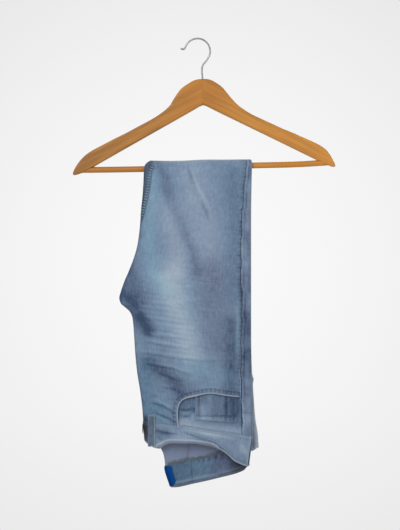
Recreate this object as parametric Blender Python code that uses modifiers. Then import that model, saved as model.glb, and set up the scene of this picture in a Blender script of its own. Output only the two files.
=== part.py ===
"""Jeans folded lengthwise and hung over the bar of a wooden hanger.

The origin is where the hook rests on its rail. X runs to the right, +Z up, and
the camera side, where the hips hang, is -Y. The legs go over the bar and hang
behind it. Four layers of cloth lie on each other, counted out from the bar:
left front, left back, right back, right front.

A point on the cloth is given by its place along X, its level or its turn round
the bar, and its depth, the distance out from the bar's surface. Tables are in
millimetres and list levels from the hook down.
"""

import math

import bmesh
import bpy
from mathutils import Matrix, Vector

MM = 0.001

# Cloth
WALL = 1.0 * MM
BAND_WALL = 1.6 * MM
SEAM_GAP = 0.6 * MM
BAND_GAP = 1.0 * MM
CROTCH_GAP = 0.5 * MM
LAYER_GAP = 0.35 * MM
ON_TOP = WALL + LAYER_GAP
INNER_DEPTH = LAYER_GAP + WALL / 2
LOOP_WALL = 1.2 * MM
LOOP_WIDTH = 12.0 * MM
LOOP_STAND = 0.9 * MM
ZIP_INSET = 2.0 * MM
BUTTON_RADIUS = 8.5 * MM
BUTTON_THICK = 2.0 * MM
SIDE_STRIP = 13.5 * MM
END_ROUND = 1.1
LEFT_HALF_SHIFT = 2.0 * MM

# Hanger
BAR_RADIUS = 5.0 * MM
BAR_MIDDLE = -216.7 * MM
BAR_SLOPE = 0.0353
BAR_SAG = 0.0715
HANGER_HALF = 221.5 * MM
ARM_THICK = 13.0 * MM
ARM_EDGE = 3.0 * MM
HEAD_TOP = Vector((8.1 * MM, -67.4 * MM))
HANGER_TILT = math.radians(1.8)
WIRE_RADIUS = 1.5 * MM
FIT = 0.3 * MM

# Levels (mm below the hook)
OVER_LEVEL = -205.0
CROTCH_LEVEL = -437.5
HIP_LEVEL = -592.0
BOW_LEVEL = -612.0
SIDE_SEAM_LEVEL = -671.0
SIDE_EDGE_LEVEL = -720.0
BACK_SEAM_LEVEL = -720.5
BACK_EDGE_LEVEL = -755.0
YOKE_SHARE = 0.5

# Left and right outline of the front drop: level, x
LEFT_OUTLINE = (
    (-205, -89.5), (-228, -90.5), (-258, -92), (-289, -95), (-319, -97.2), (-349, -101.4),
    (-370, -107.3), (-390, -114.9), (-410, -123.4), (-427, -129.3), (-437, -131.8),
    (-446, -129.3), (-452, -122.5), (-461, -113.2), (-471, -109.5), (-501, -106.8),
    (-532, -104.8), (-562, -101.7), (-593, -96.7), (-623, -93), (-654, -90.8), (-672, -88.8),
)
RIGHT_OUTLINE = (
    (-205, 90.4), (-258, 89.6), (-289, 88.6), (-319, 88), (-349, 88), (-390, 88.7),
    (-437, 89.6), (-532, 90.2), (-672, 90.2), (-686, 88), (-705, 85.4), (-720, 83.8),
)

# Outline of the legs behind: level, x
LEG_LEFT_OUTLINE = ((-205, -89.5), (-228, -90.5), (-500, -66), (-562, -60), (-654, -52), (-693, -48.7))
LEG_RIGHT_OUTLINE = ((-205, 90.4), (-500, 91), (-562, 92.2), (-613, 94), (-654, 97.4), (-693, 101.8))

# The centre-back fold, inside the front layers: level, x
BACK_FOLD = (
    (-437, -129), (-441, -125), (-446, -119), (-452, -112.4), (-461, -105.6), (-478, -101.4),
    (-501, -98), (-532, -94.6), (-562, -90.4), (-593, -86.2), (-623, -82), (-654, -76.1),
    (-672, -69.3), (-689, -62.5), (-698, -57.8), (-713, -55), (-723, -54.1), (-755, -44.5),
)

# Waist lines: x, level
FRONT_SEAM = ((-92, -645), (-80, -646), (-70, -648), (-25, -652), (20, -659), (72, -667), (91, -671))
FRONT_EDGE = (
    (-92, -671), (-88.2, -677.2), (-82, -682.8), (-74.2, -687.2), (-63.4, -689), (-54.9, -682.8),
    (-46.5, -679.7), (-38, -678.9), (-9.3, -678.9), (5.9, -680.6), (21.1, -683.9), (33, -688.2),
    (43.1, -693.2), (53.2, -701.7), (61.7, -709.8), (71.8, -715.2), (82, -719.1), (91, -720),
)
BACK_SEAM = ((-56, -720.5), (-30, -712.5), (13, -705.5), (45, -696.5), (82, -682), (91, -676))
BACK_EDGE = ((-46, -755), (-40, -755), (-7, -748.7), (38, -738.5), (77.4, -726.7), (85, -720), (91, -719))

# Spacing of the layers: level, the two walls of a leg at the left edge, middle
# and right edge, then the two legs from each other at the same places
FRONT_SPACING = (
    (-205, 3.0, 1.9, 1.9, 2.2, 1.7, 1.4),
    (-260, 3.0, 3.0, 2.0, 2.2, 1.8, 1.5),
    (-350, 3.0, 4.6, 2.4, 2.4, 2.0, 1.8),
    (-437, 3.0, 5.0, 3.0, 2.6, 2.4, 2.0),
    (-505, 3.2, 5.4, 3.6, 2.6, 4.9, 2.4),
    (-590, 3.4, 5.6, 4.5, 2.8, 5.2, 3.2),
    (-760, 3.6, 5.6, 4.5, 3.4, 5.2, 3.4),
)
LEG_SPACING = (
    (-205, 3.0, 1.9, 1.9, 2.2, 1.7, 1.4),
    (-300, 2.8, 3.4, 2.2, 2.0, 1.8, 1.6),
    (-500, 2.6, 5.0, 2.6, 1.8, 2.0, 1.8),
    (-640, 2.8, 8.4, 2.8, 1.8, 2.2, 1.8),
    (-693, 3.0, 9.6, 3.0, 1.8, 2.2, 1.8),
)

# How far the inseam lies round the left edge onto the outer face: level, distance
FRONT_INSEAM_TURN = ((-205, 10), (-258, 7.5), (-289, 4), (-319, 1), (-350, 0), (-437, 0))
LEG_INSEAM_TURN = ((-205, 10), (-350, 8), (-693, 4))

# Largest folds of the right front: x and level of both ends, half width, height
FOLDS = (
    (-18, -218, 0, -305, 10, 1.6),
    (-66, -222, -6, -390, 22, 2.2),
    (-84, -612, -26, -652, 11, 4.0),
    (-100, -500, -20, -545, 16, 2.0),
    (-96, -455, -30, -470, 16, 1.8),
    (-70, -575, 20, -560, 18, 1.6),
)
WAIST_BOW_RIGHT = 15.0 * MM
WAIST_BOW_LEFT = -5.5 * MM
BOW_POWER = 1.6

# Rows of cloth
LEG_LEVELS = (-692, -650, -590, -510, -420, -330, -255)
OVER_TURNS = (180, 150, 120, 90, 60, 30, 0)
FRONT_LEVELS = (
    -238, -262, -289, -319, -349, -376, -400, -420, -433, -441,
    -447, -453, -461, -471, -492, -520, -556,
)
FRONT_HIP_SHARES = (0.0, 0.2, 0.4, 0.6, 0.8, 1.0)
BACK_HIP_SHARES = (0.0, 0.17, 0.33, 0.5)
YOKE_SHARES = (0.5, 0.67, 0.84, 1.0)

# The scooped pocket opening: x, level
POCKET_OPENING = (
    (-24, -668), (-24.5, -652), (-30.5, -638), (-32, -626.5), (-29.6, -609.5), (-21, -600.3),
    (-7.6, -594.4), (12.7, -591), (29.6, -591.3), (55, -595.2), (76.9, -598.6), (100, -602),
    (100, -700), (-20, -700),
)
POCKET_TOP = -578.0
POCKET_LEFT = -46.0 * MM
COIN_POCKET_ENDS = (-4.2 * MM, 64.0 * MM)
COIN_POCKET_TOP = -593.5
COIN_POCKET_HEM = (-637.5, -645.5)
BACK_POCKET_ENDS = (-50 * MM, 60 * MM)
BACK_POCKET_TOP = -508.0
BACK_POCKET_HEM = (-634.0, -641.0)

# Colours, as linear red, green and blue
DENIM = (0.21, 0.32, 0.42)
BLUE_LABEL = (0.006, 0.036, 0.13)
WOOD = (0.53, 0.22, 0.05)
STEEL = (0.6, 0.6, 0.62)


def curve_through(rows):
    """Smooth function through (key, value) rows that never overshoots them."""
    points = sorted(rows)
    keys = [point[0] for point in points]
    values = [point[1] for point in points]
    steps = [keys[i + 1] - keys[i] for i in range(len(keys) - 1)]
    slopes = [(values[i + 1] - values[i]) / steps[i] for i in range(len(steps))]
    tangents = [slopes[0]]
    for i in range(1, len(slopes)):
        if slopes[i - 1] * slopes[i] <= 0:
            tangents.append(0.0)
        else:
            before = 2 * steps[i] + steps[i - 1]
            after = steps[i] + 2 * steps[i - 1]
            tangents.append((before + after) / (before / slopes[i - 1] + after / slopes[i]))
    tangents.append(slopes[-1])

    def value_at(key):
        key = min(max(key, keys[0]), keys[-1])
        i = 0
        while i < len(steps) - 1 and key > keys[i + 1]:
            i += 1
        t = (key - keys[i]) / steps[i]
        rise = values[i + 1] - values[i]
        ease = t * t * (3 - 2 * t)
        bend = t * (1 - t) * ((1 - t) * tangents[i] - t * tangents[i + 1]) * steps[i]
        return values[i] + rise * ease + bend

    return value_at


def column_curves(rows):
    """One curve for each value column of a table whose first column is the key."""
    return [curve_through([(row[0], row[i]) for row in rows]) for i in range(1, len(rows[0]))]


def mix(a, b, share):
    return a + (b - a) * share


left_outline = curve_through(LEFT_OUTLINE)
right_outline = curve_through(RIGHT_OUTLINE)
leg_left_outline = curve_through(LEG_LEFT_OUTLINE)
leg_right_outline = curve_through(LEG_RIGHT_OUTLINE)
back_fold = curve_through(BACK_FOLD)
front_seam = curve_through(FRONT_SEAM)
front_edge = curve_through(FRONT_EDGE)
back_seam = curve_through(BACK_SEAM)
back_edge = curve_through(BACK_EDGE)
front_spacing = column_curves(FRONT_SPACING)
leg_spacing = column_curves(LEG_SPACING)
front_inseam_turn = curve_through(FRONT_INSEAM_TURN)
leg_inseam_turn = curve_through(LEG_INSEAM_TURN)


def bar_height(x):
    return BAR_MIDDLE + BAR_SLOPE * x + BAR_SAG * x * x


def across(share, left, middle, right):
    """Value at a share of the width, eased from the edges to the middle."""
    share = min(max(share, 0.0), 1.0)
    edge = left if share < 0.5 else right
    return mix(edge, middle, math.sin(math.pi * share) ** 0.8)


def waist_bow(half, share, x, level):
    """How far the open waist stands out from the flat layers."""
    depth = (BOW_LEVEL - level) / (BOW_LEVEL - front_edge(x / MM))
    if depth <= 0:
        return 0.0
    reach = WAIST_BOW_RIGHT if half == "right" else WAIST_BOW_LEFT
    return reach * math.sin(math.pi * share ** 0.9) ** 1.3 * min(depth, 1.05) ** BOW_POWER


def fold_height(x, level):
    """Rise of the right front's largest folds at a point."""
    total = 0.0
    for x0, z0, x1, z1, half_width, height in FOLDS:
        along = Vector((x1 - x0, z1 - z0))
        reach = Vector((x / MM - x0, level - z0))
        share = reach.dot(along) / along.length_squared
        offset = reach - along * min(max(share, 0.0), 1.0)
        taper = max(0.0, math.sin(math.pi * min(max(share, 0.0), 1.0))) ** 0.5
        total += height * MM * taper * math.exp(-(offset.length / half_width) ** 2)
    return total


class Row:
    """One line of cloth across the legs: behind, over or in front of the bar."""

    def __init__(self, place, level=OVER_LEVEL, turn=0.0, hip=None, band=None):
        self.place = place
        self.level = level
        self.turn = math.radians(turn)
        self.hip = hip
        self.band = band

    @property
    def is_leg(self):
        return self.place != "front" or (self.hip is None and self.band is None and self.level > CROTCH_LEVEL)

    def level_at(self, x, wrap):
        """Level at a place on the row; wrap is 0 on the front and 1 on the back."""
        if self.hip is not None:
            front = mix(HIP_LEVEL, front_seam(x / MM), self.hip)
            back = mix(HIP_LEVEL, back_seam(x / MM), self.hip)
            return mix(front, back, wrap)
        if self.band is not None:
            front = mix(front_seam(x / MM), front_edge(x / MM), self.band)
            back = mix(back_seam(x / MM), back_edge(x / MM), self.band)
            return mix(front, back, wrap)
        return self.level

    def side_level(self):
        if self.hip is not None:
            return mix(HIP_LEVEL, SIDE_SEAM_LEVEL, self.hip)
        if self.band is not None:
            return mix(SIDE_SEAM_LEVEL, SIDE_EDGE_LEVEL, self.band)
        return self.level

    def left(self):
        if self.place == "behind":
            return leg_left_outline(self.level) * MM + WALL / 2
        return left_outline(self.level_at(-92 * MM, 0)) * MM + WALL / 2

    def right(self, half):
        outline = leg_right_outline if self.place == "behind" else right_outline
        shift = 0.0
        if half == "left" and self.place == "front":
            shift = LEFT_HALF_SHIFT * min(1.0, max(0.0, (HIP_LEVEL - self.side_level()) / 60))
        return outline(self.side_level()) * MM - WALL / 2 + shift

    def fold(self):
        """Place of the centre-back fold."""
        if self.hip is not None:
            level = mix(HIP_LEVEL, BACK_SEAM_LEVEL, self.hip)
        elif self.band is not None:
            level = mix(BACK_SEAM_LEVEL, BACK_EDGE_LEVEL, self.band)
        else:
            level = self.level
        return back_fold(level) * MM + WALL / 2

    def edge_gap(self):
        """Half the gap at an inseam, centre-front or centre-back edge."""
        if self.band is not None:
            return BAND_GAP / 2
        near = (self.level - CROTCH_LEVEL) / 8 if self.place == "front" else 9.0
        return SEAM_GAP / 2 + CROTCH_GAP * math.exp(-near * near)

    def inseam_turn(self):
        turn = leg_inseam_turn if self.place == "behind" else front_inseam_turn
        return turn(self.level) * MM

    def depth(self, layer, x, level):
        """Depth of a layer's middle surface."""
        table = leg_spacing if self.place == "behind" else front_spacing
        key = OVER_LEVEL if self.place == "over" else level
        left, right = self.left(), self.right("right")
        share = min(max((x - left) / (right - left), 0.0), 1.0)
        values = [column(key) * MM for column in table]
        walls = across(share, *values[:3])
        between = across(share, *values[3:])
        depths = {"left front": INNER_DEPTH}
        depths["left back"] = INNER_DEPTH + walls
        depths["right back"] = depths["left back"] + between
        depths["right front"] = depths["right back"] + walls
        depths["centre"] = depths["left back"] + between / 2
        if self.place == "front" and layer in ("left front", "right front"):
            depths[layer] += waist_bow(layer.split()[0], share, x, level)
        if self.place == "front" and layer == "right front":
            depths[layer] += fold_height(x, level) * min(1.0, share * 6)
        if self.place == "over" and layer == "right front":
            depths[layer] += fold_height(x, -222) * max(0.0, math.cos(self.turn))
        return depths[layer]

    def put(self, x, depth, level):
        """World point for a place, depth and level on this row."""
        reach = BAR_RADIUS + depth
        if self.place == "over":
            return Vector((x, -reach * math.cos(self.turn), bar_height(x) + reach * math.sin(self.turn)))
        side = -1 if self.place == "front" else 1
        return Vector((x, side * reach, level * MM))


def round_end(row, x_end, inward, middle, layer, distance, wrap, outset=0.0):
    """Point on a rounded edge, at a distance from its outermost place."""
    face = row.depth(layer, x_end + inward * WALL, row.level_at(x_end, wrap))
    sign = 1 if face > middle else -1
    half = abs(face - middle) + outset
    run = END_ROUND * half
    quarter = math.pi / 4 * (run + half)
    angle = min(distance / quarter, 1.0) * math.pi / 2
    x = x_end - inward * outset + inward * (run * (1 - math.cos(angle)) + max(distance - quarter, 0.0))
    level = row.level_at(x, wrap)
    face = row.depth(layer, x, level) + sign * outset
    return row.put(x, middle + (face - middle) * math.sin(angle), level)


def quarter_length(row, x_end, inward, middle, layer):
    face = row.depth(layer, x_end + inward * WALL, row.level_at(x_end, 0))
    half = abs(face - middle)
    return math.pi / 4 * (END_ROUND * half + half)


def edge_middle(row, half, x_end, at_left):
    """Depth of the seam round which an edge turns, for front and back panels."""
    level = row.level_at(x_end, 0)
    if at_left and not row.is_leg:
        return row.depth("centre", x_end, level)
    front = row.depth(half + " front", x_end, level)
    back = row.depth(half + " back", x_end, level)
    return (front + back) / 2


def front_row(row, half, columns):
    """Points of a front panel, from the inseam or centre front to the side seam."""
    layer = half + " front"
    left, right = row.left(), row.right(half)
    middle = edge_middle(row, half, left, True)
    start = row.edge_gap() + (row.inseam_turn() if row.is_leg else 0.0)
    quarter = max(quarter_length(row, left, 1, middle, layer), start + 3 * MM)
    points = [round_end(row, left, 1, middle, layer, mix(start, quarter, i / 3), 0) for i in range(4)]
    first = points[-1].x
    last = right - SIDE_STRIP - SEAM_GAP / 2
    for i in range(1, columns + 1):
        x = mix(first, last, i / columns)
        level = row.level_at(x, 0)
        points.append(row.put(x, row.depth(layer, x, level), level))
    return points


def side_wrap(row, half, quarter, to_front):
    """Points round the right edge, from the back layer to the front one."""
    right = row.right(half)
    middle = edge_middle(row, half, right, False)
    steps = [(-1.0, 1), (-0.5, 1), (0.0, 1), (0.5, 0), (1.0, 0)]
    points = []
    for share, on_back in steps:
        layer = half + (" back" if on_back else " front")
        wrap = 0.5 - 0.5 * math.sin(share * math.pi / 2)
        points.append(round_end(row, right, -1, middle, layer, abs(share) * quarter, wrap))
    for distance in to_front:
        points.append(round_end(row, right, -1, middle, half + " front", distance, 0.0))
    return points


def back_start(row, half):
    """Points of a back panel at the inseam or the centre-back fold."""
    layer = half + " back"
    if row.is_leg:
        left = row.left()
        middle = edge_middle(row, half, left, True)
        quarter = quarter_length(row, left, 1, middle, layer)
        start = row.edge_gap() - row.inseam_turn()
        stops = [start, -quarter, -quarter / 2, 0.0, quarter / 2, quarter, quarter + 3 * MM]
    else:
        left = row.fold()
        middle = row.depth("centre", left, row.level_at(left, 1))
        quarter = quarter_length(row, left, 1, middle, layer)
        start = row.edge_gap()
        stops = [start + quarter * share for share in (0, 0.33, 0.67, 1.0)]
        stops += [quarter + step * MM for step in (1, 2.5, 4)]
    points = []
    for i, stop in enumerate(stops):
        distance = max(stop, start + i * 0.25 * MM)
        face = layer if distance >= 0 else half + " front"
        points.append(round_end(row, left, 1, middle, face, abs(distance), 1))
    return points


def back_row(row, half, columns):
    """Points of a back panel, from the left fold round the right edge to the side seam."""
    layer = half + " back"
    right = row.right(half)
    middle = edge_middle(row, half, right, False)
    quarter = quarter_length(row, right, -1, middle, layer)
    end = SIDE_STRIP - SEAM_GAP / 2
    points = back_start(row, half)
    wrap = side_wrap(row, half, quarter, (mix(quarter, end, 0.5), end))
    first, last = points[-1].x, wrap[0].x
    for i in range(1, columns):
        x = mix(first, last, i / columns)
        level = row.level_at(x, 1)
        points.append(row.put(x, row.depth(layer, x, level), level))
    return points + wrap


def band_row(row, half, front_columns, back_columns):
    """Points of one half of the waistband, centre front to centre back."""
    left, right = row.left(), row.right(half)
    middle = edge_middle(row, half, left, True)
    layer = half + " front"
    quarter = quarter_length(row, left, 1, middle, layer)
    start = row.edge_gap()
    points = [round_end(row, left, 1, middle, layer, mix(start, quarter, i / 3), 0) for i in range(4)]
    middle = edge_middle(row, half, right, False)
    wrap = side_wrap(row, half, quarter_length(row, right, -1, middle, half + " back"), ())
    wrap.reverse()
    first, last = points[-1].x, wrap[0].x
    for i in range(1, front_columns):
        x = mix(first, last, i / front_columns)
        level = row.level_at(x, 0)
        points.append(row.put(x, row.depth(layer, x, level), level))
    points += wrap
    layer = half + " back"
    fold = row.fold()
    middle = row.depth("centre", fold, row.level_at(fold, 1))
    quarter = quarter_length(row, fold, 1, middle, layer)
    turn = [round_end(row, fold, 1, middle, layer, mix(quarter, start, i / 3), 1) for i in range(4)]
    first, last = wrap[-1].x, turn[0].x
    for i in range(1, back_columns):
        x = mix(first, last, i / back_columns)
        level = row.level_at(x, 1)
        points.append(row.put(x, row.depth(layer, x, level), level))
    return points + turn


def material(name, colour, roughness, metallic=0.0):
    made = bpy.data.materials.get(name)
    if made is None:
        made = bpy.data.materials.new(name)
        made.use_nodes = True
        shader = made.node_tree.nodes["Principled BSDF"]
        shader.inputs["Base Color"].default_value = (*colour, 1.0)
        shader.inputs["Roughness"].default_value = roughness
        shader.inputs["Metallic"].default_value = metallic
    return made


def add_object(name, data, look, collection):
    thing = bpy.data.objects.new(name, data)
    if look is not None:
        data.materials.append(look)
    collection.objects.link(thing)
    return thing


def cloth(name, rows, look, collection, wall=WALL):
    """A sheet of cloth through rows of points, given its thickness."""
    mesh = bpy.data.meshes.new(name)
    sheet = bmesh.new()
    verts = [[sheet.verts.new(point) for point in row] for row in rows]
    for upper, lower in zip(verts, verts[1:]):
        for i in range(len(upper) - 1):
            sheet.faces.new((upper[i], upper[i + 1], lower[i + 1], lower[i]))
    sheet.to_mesh(mesh)
    sheet.free()
    mesh.shade_smooth()
    thing = add_object(name, mesh, look, collection)
    thickness = thing.modifiers.new("Wall", "SOLIDIFY")
    thickness.thickness = wall
    thickness.offset = 0.0
    thickness.use_even_offset = True
    return thing


def flat_outline(name, points, half_depth, look, collection, edge=0.0):
    """A closed outline in the XZ plane, given its thickness along Y."""
    curve = bpy.data.curves.new(name, "CURVE")
    curve.dimensions = "2D"
    curve.fill_mode = "BOTH"
    curve.extrude = half_depth - edge
    curve.bevel_depth = edge
    curve.offset = -edge
    curve.bevel_resolution = 2
    spline = curve.splines.new("POLY")
    spline.points.add(len(points) - 1)
    for place, (x, z) in zip(spline.points, points):
        place.co = (x, z, 0.0, 1.0)
    spline.use_cyclic_u = True
    thing = add_object(name, curve, look, collection)
    thing.rotation_euler = (math.radians(90), 0, 0)
    return thing


def wire(name, points, radius, look, collection, resolution=2):
    curve = bpy.data.curves.new(name, "CURVE")
    curve.dimensions = "3D"
    curve.bevel_depth = radius
    curve.bevel_resolution = resolution
    curve.use_fill_caps = True
    spline = curve.splines.new("POLY")
    spline.points.add(len(points) - 1)
    for place, point in zip(spline.points, points):
        place.co = (*point, 1.0)
    return add_object(name, curve, look, collection)


def as_mesh(thing):
    """The same object as a mesh with its caps welded."""
    bpy.context.view_layer.update()
    graph = bpy.context.evaluated_depsgraph_get()
    mesh = bpy.data.meshes.new_from_object(thing.evaluated_get(graph))
    welded = bmesh.new()
    welded.from_mesh(mesh)
    bmesh.ops.remove_doubles(welded, verts=welded.verts, dist=0.00001)
    bmesh.ops.recalc_face_normals(welded, faces=welded.faces)
    welded.to_mesh(mesh)
    welded.free()
    name = thing.name
    collection = thing.users_collection[0]
    matrix = thing.matrix_world.copy()
    bpy.data.objects.remove(thing)
    made = bpy.data.objects.new(name, mesh)
    made.matrix_world = matrix
    collection.objects.link(made)
    return made


def cut(thing, cutter):
    cutter.hide_render = True
    cutter.display_type = "WIRE"
    modifier = thing.modifiers.new("Cut", "BOOLEAN")
    modifier.operation = "DIFFERENCE"
    modifier.object = cutter


def leg_rows():
    rows = [Row("behind", level) for level in LEG_LEVELS]
    rows += [Row("over", turn=turn) for turn in OVER_TURNS]
    rows += [Row("front", level) for level in FRONT_LEVELS]
    return rows


def hip_rows(shares):
    return [Row("front", hip=share) for share in shares]


def trimmed(rows, end_gap):
    """Draw the last row back from its seam."""
    last, before = rows[-1], rows[-2]
    for i, point in enumerate(last):
        back = before[i] - point
        rows[-1][i] = point + back * (end_gap / back.length)
    return rows


def build_panels(collection, cutters):
    denim = material("denim", DENIM, 0.9)
    for half in ("right", "left"):
        columns = 13 if half == "right" else 8
        rows = [front_row(row, half, columns) for row in leg_rows() + hip_rows(FRONT_HIP_SHARES)]
        front = cloth(half + "_front", trimmed(rows, SEAM_GAP), denim, collection)
        rows = [back_row(row, half, 6) for row in leg_rows() + hip_rows(BACK_HIP_SHARES)]
        cloth(half + "_back", rows, denim, collection)
        rows = [back_row(row, half, 6) for row in hip_rows(YOKE_SHARES)]
        rows = trimmed(rows, BAND_GAP)
        rows.reverse()
        rows = trimmed(rows, SEAM_GAP)
        cloth(half + "_yoke", rows, denim, collection)
        rows = [band_row(Row("front", band=share), half, 14, 7) for share in (0.0, 0.33, 0.67, 1.0)]
        cloth(half + "_waistband", rows, denim, collection, BAND_WALL)
        opening = [(x * MM, z * MM) for x, z in POCKET_OPENING]
        near, far = (-45 * MM, -9 * MM) if half == "right" else (-9 * MM, 0.0)
        cutter = flat_outline("cut_" + half + "_pocket", opening, (far - near) / 2, None, cutters)
        cutter.location.y = (near + far) / 2
        cut(front, as_mesh(cutter))


def patch(layer, x_range, top, bottom, offset, columns, rows):
    """Rows of points on a layer of the front drop, moved out, with a sloping lower edge."""
    row = Row("front", HIP_LEVEL)
    grid = []
    for j in range(rows + 1):
        line = []
        for i in range(columns + 1):
            x = mix(*x_range, i / columns)
            lowest = bottom(x) if callable(bottom) else mix(*bottom, i / columns)
            level = mix(top, lowest, j / rows)
            row.level = level
            line.append(row.put(x, row.depth(layer, x, level) + offset, level))
        grid.append(line)
    return grid


def waist_end(x):
    return front_seam(x / MM) + 0.6


def build_pockets(collection):
    denim = material("denim", DENIM, 0.9)
    side = Row("front", hip=0.3).right("right") - SIDE_STRIP - SEAM_GAP / 2
    for half, outward, under in (("right", 1, -2 * ON_TOP), ("left", -1, ON_TOP)):
        rows = patch(half + " front", (POCKET_LEFT, side), POCKET_TOP, waist_end, under, 8, 6)
        cloth(half + "_pocket_facing", rows, denim, collection)
        rows = patch(half + " back", BACK_POCKET_ENDS, BACK_POCKET_TOP, BACK_POCKET_HEM, -outward * ON_TOP, 5, 5)
        cloth(half + "_back_pocket", rows, denim, collection)
    rows = patch("right front", COIN_POCKET_ENDS, COIN_POCKET_TOP, COIN_POCKET_HEM, -ON_TOP, 5, 4)
    cloth("coin_pocket", rows, denim, collection)


def belt_loop(name, layer, x, levels, offset, collection):
    """A strap over the waistband, standing off it a little."""
    ends = (x - LOOP_WIDTH / 2, x + LOOP_WIDTH / 2)
    rows = patch(layer, ends, levels[0], (levels[1], levels[1]), offset, 2, 6)
    cloth(name, rows, material("denim", DENIM, 0.9), collection, LOOP_WALL)


def build_loops(collection):
    lift = BAND_WALL / 2 + LOOP_STAND + LOOP_WALL / 2
    belt_loop("belt_loop_right_front", "right front", -77 * MM, (-631.0, -686.0), lift, collection)
    over_fly = -lift - WALL
    belt_loop("belt_loop_left_front", "left front", -77 * MM, (-631.0, -686.0), over_fly, collection)
    belt_loop("belt_loop_right_back", "right back", 22 * MM, (-690.0, -741.0), -lift, collection)
    belt_loop("belt_loop_left_back", "left back", 2 * MM, (-692.0, -745.0), lift, collection)
    belt_loop("belt_loop_centre_back", "right back", -36 * MM, (-704.0, -752.0), -lift, collection)


def build_fly(collection):
    denim = material("denim", DENIM, 0.9)
    rows = []
    for level, reach in ((-641, 40), (-610, 40), (-575, 40), (-545, 36), (-525, 27), (-515, 14)):
        row = Row("front", level)
        left = row.left()
        middle = edge_middle(row, "left", left, True)
        first = quarter_length(row, left, 1, middle, "left front") + 2 * MM
        stops = [mix(first, reach * MM, i / 5) for i in range(6)]
        rows.append([round_end(row, left, 1, middle, "left front", stop, 0, ON_TOP) for stop in stops])
    cloth("fly_placket", rows, denim, collection)
    rows = []
    for level in (-640, -600, -560, -525):
        row = Row("front", level)
        left = row.left()
        middle = edge_middle(row, "left", left, True)
        line = [round_end(row, left, 1, middle, "left front", stop * MM, 0, -ZIP_INSET) for stop in (4, 2, 0)]
        line += [round_end(row, left, 1, middle, "right front", stop * MM, 0, -ZIP_INSET) for stop in (2, 4)]
        rows.append(line)
    cloth("fly_zip", rows, material("steel", STEEL, 0.35, 1.0), collection)


def build_label(collection):
    rows = []
    for share in (0.02, 0.5, 0.98):
        row = Row("front", band=share)
        fold = row.fold()
        middle = row.depth("centre", fold, row.level_at(fold, 1))
        outset = BAND_WALL / 2 + 2 * LAYER_GAP + WALL / 2
        line = [round_end(row, fold, 1, middle, "left back", stop * MM, 1, outset) for stop in (11, 7, 3, 1.5)]
        line += [round_end(row, fold, 1, middle, "right back", stop * MM, 1, outset) for stop in (0, 1.5, 3, 7, 11)]
        rows.append(line)
    cloth("label", rows, material("blue_label", BLUE_LABEL, 0.7), collection)


def build_button(collection):
    row = Row("front", band=0.4)
    left = row.left()
    x = left - BAND_WALL / 2 - 2 * FIT - BUTTON_THICK / 2
    centre = row.put(x, edge_middle(row, "right", left, True), row.level_at(left, 0))
    bpy.ops.mesh.primitive_cylinder_add(
        vertices=24, radius=BUTTON_RADIUS, depth=BUTTON_THICK, location=centre
    )
    button = bpy.context.object
    button.name = "waist_button"
    button.rotation_euler = (0, math.radians(90), 0)
    bevel = button.modifiers.new("Edge", "BEVEL")
    bevel.width = 0.8 * MM
    bevel.segments = 2
    button.data.materials.append(material("steel", STEEL, 0.35, 1.0))
    for old in list(button.users_collection):
        old.objects.unlink(button)
    collection.objects.link(button)


# Upper and lower edge of one arm: distance from the middle, height under the head's top
ARM_UPPER = (
    (0, 0), (6, -0.2), (13, -1.6), (23, -7), (33, -14.6), (42, -26), (52, -38.5), (62, -48.5), (72, -56),
    (82, -62.3), (92, -67.6), (112, -77.5), (132, -87.5), (152, -96.5), (172, -106.2), (192, -116.3),
    (202, -123), (212, -133), (218, -141),
)
ARM_TIP = ((221, -145.5), (222, -149), (221, -152.5), (217, -154.6), (210, -154.8), (205, -151.5))
ARM_LOWER = ((200, -148.5), (150, -122), (100, -95.6), (50, -69.4), (14, -50.4), (6, -45.6), (0, -43.8))


def arm_outline(side):
    upper = curve_through([(x, z) for x, z in ARM_UPPER])
    points = [(x, upper(x)) for x in (0, 5, 10, 15, 20, 26, 32, 38, 44, 50, 57, 65, 74, 84, 96)]
    points += [(x, upper(x)) for x in (112, 132, 152, 172, 188, 198, 207, 214)]
    points += list(ARM_TIP) + list(ARM_LOWER)
    placed = []
    for u, w in points:
        u = side * max(u, 0.15)
        along = Vector((u * MM, w * MM))
        along.rotate(Matrix.Rotation(HANGER_TILT, 2))
        placed.append((HEAD_TOP.x + along.x, HEAD_TOP.y + along.y))
    return placed


def bar_points(reach):
    count = 14
    xs = [HEAD_TOP.x + mix(-reach, reach, i / count) for i in range(count + 1)]
    return [(x, 0.0, bar_height(x)) for x in xs]


def hook_points():
    """Stem out of the head, round the loop, and the flick at the tip."""
    centre = Vector((0.0, -20.1 * MM))
    radius = 21.6 * MM
    stem = [(9.6, -92), (9.0, -78), (8.6, -67), (7.8, -57.6), (7.4, -49), (9.1, -42.9), (13.8, -37.7), (18.6, -31)]
    points = [(x * MM, 0.0, z * MM) for x, z in stem]
    for step in range(0, 13):
        angle = math.radians(mix(-12, 152, step / 12))
        points.append((centre.x + radius * math.cos(angle), 0.0, centre.y + radius * math.sin(angle)))
    points += [(-21.6 * MM, 0.0, -14.4 * MM), (-23.6 * MM, 0.0, -16.6 * MM), (-26.7 * MM, 0.0, -16.2 * MM)]
    return points


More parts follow.
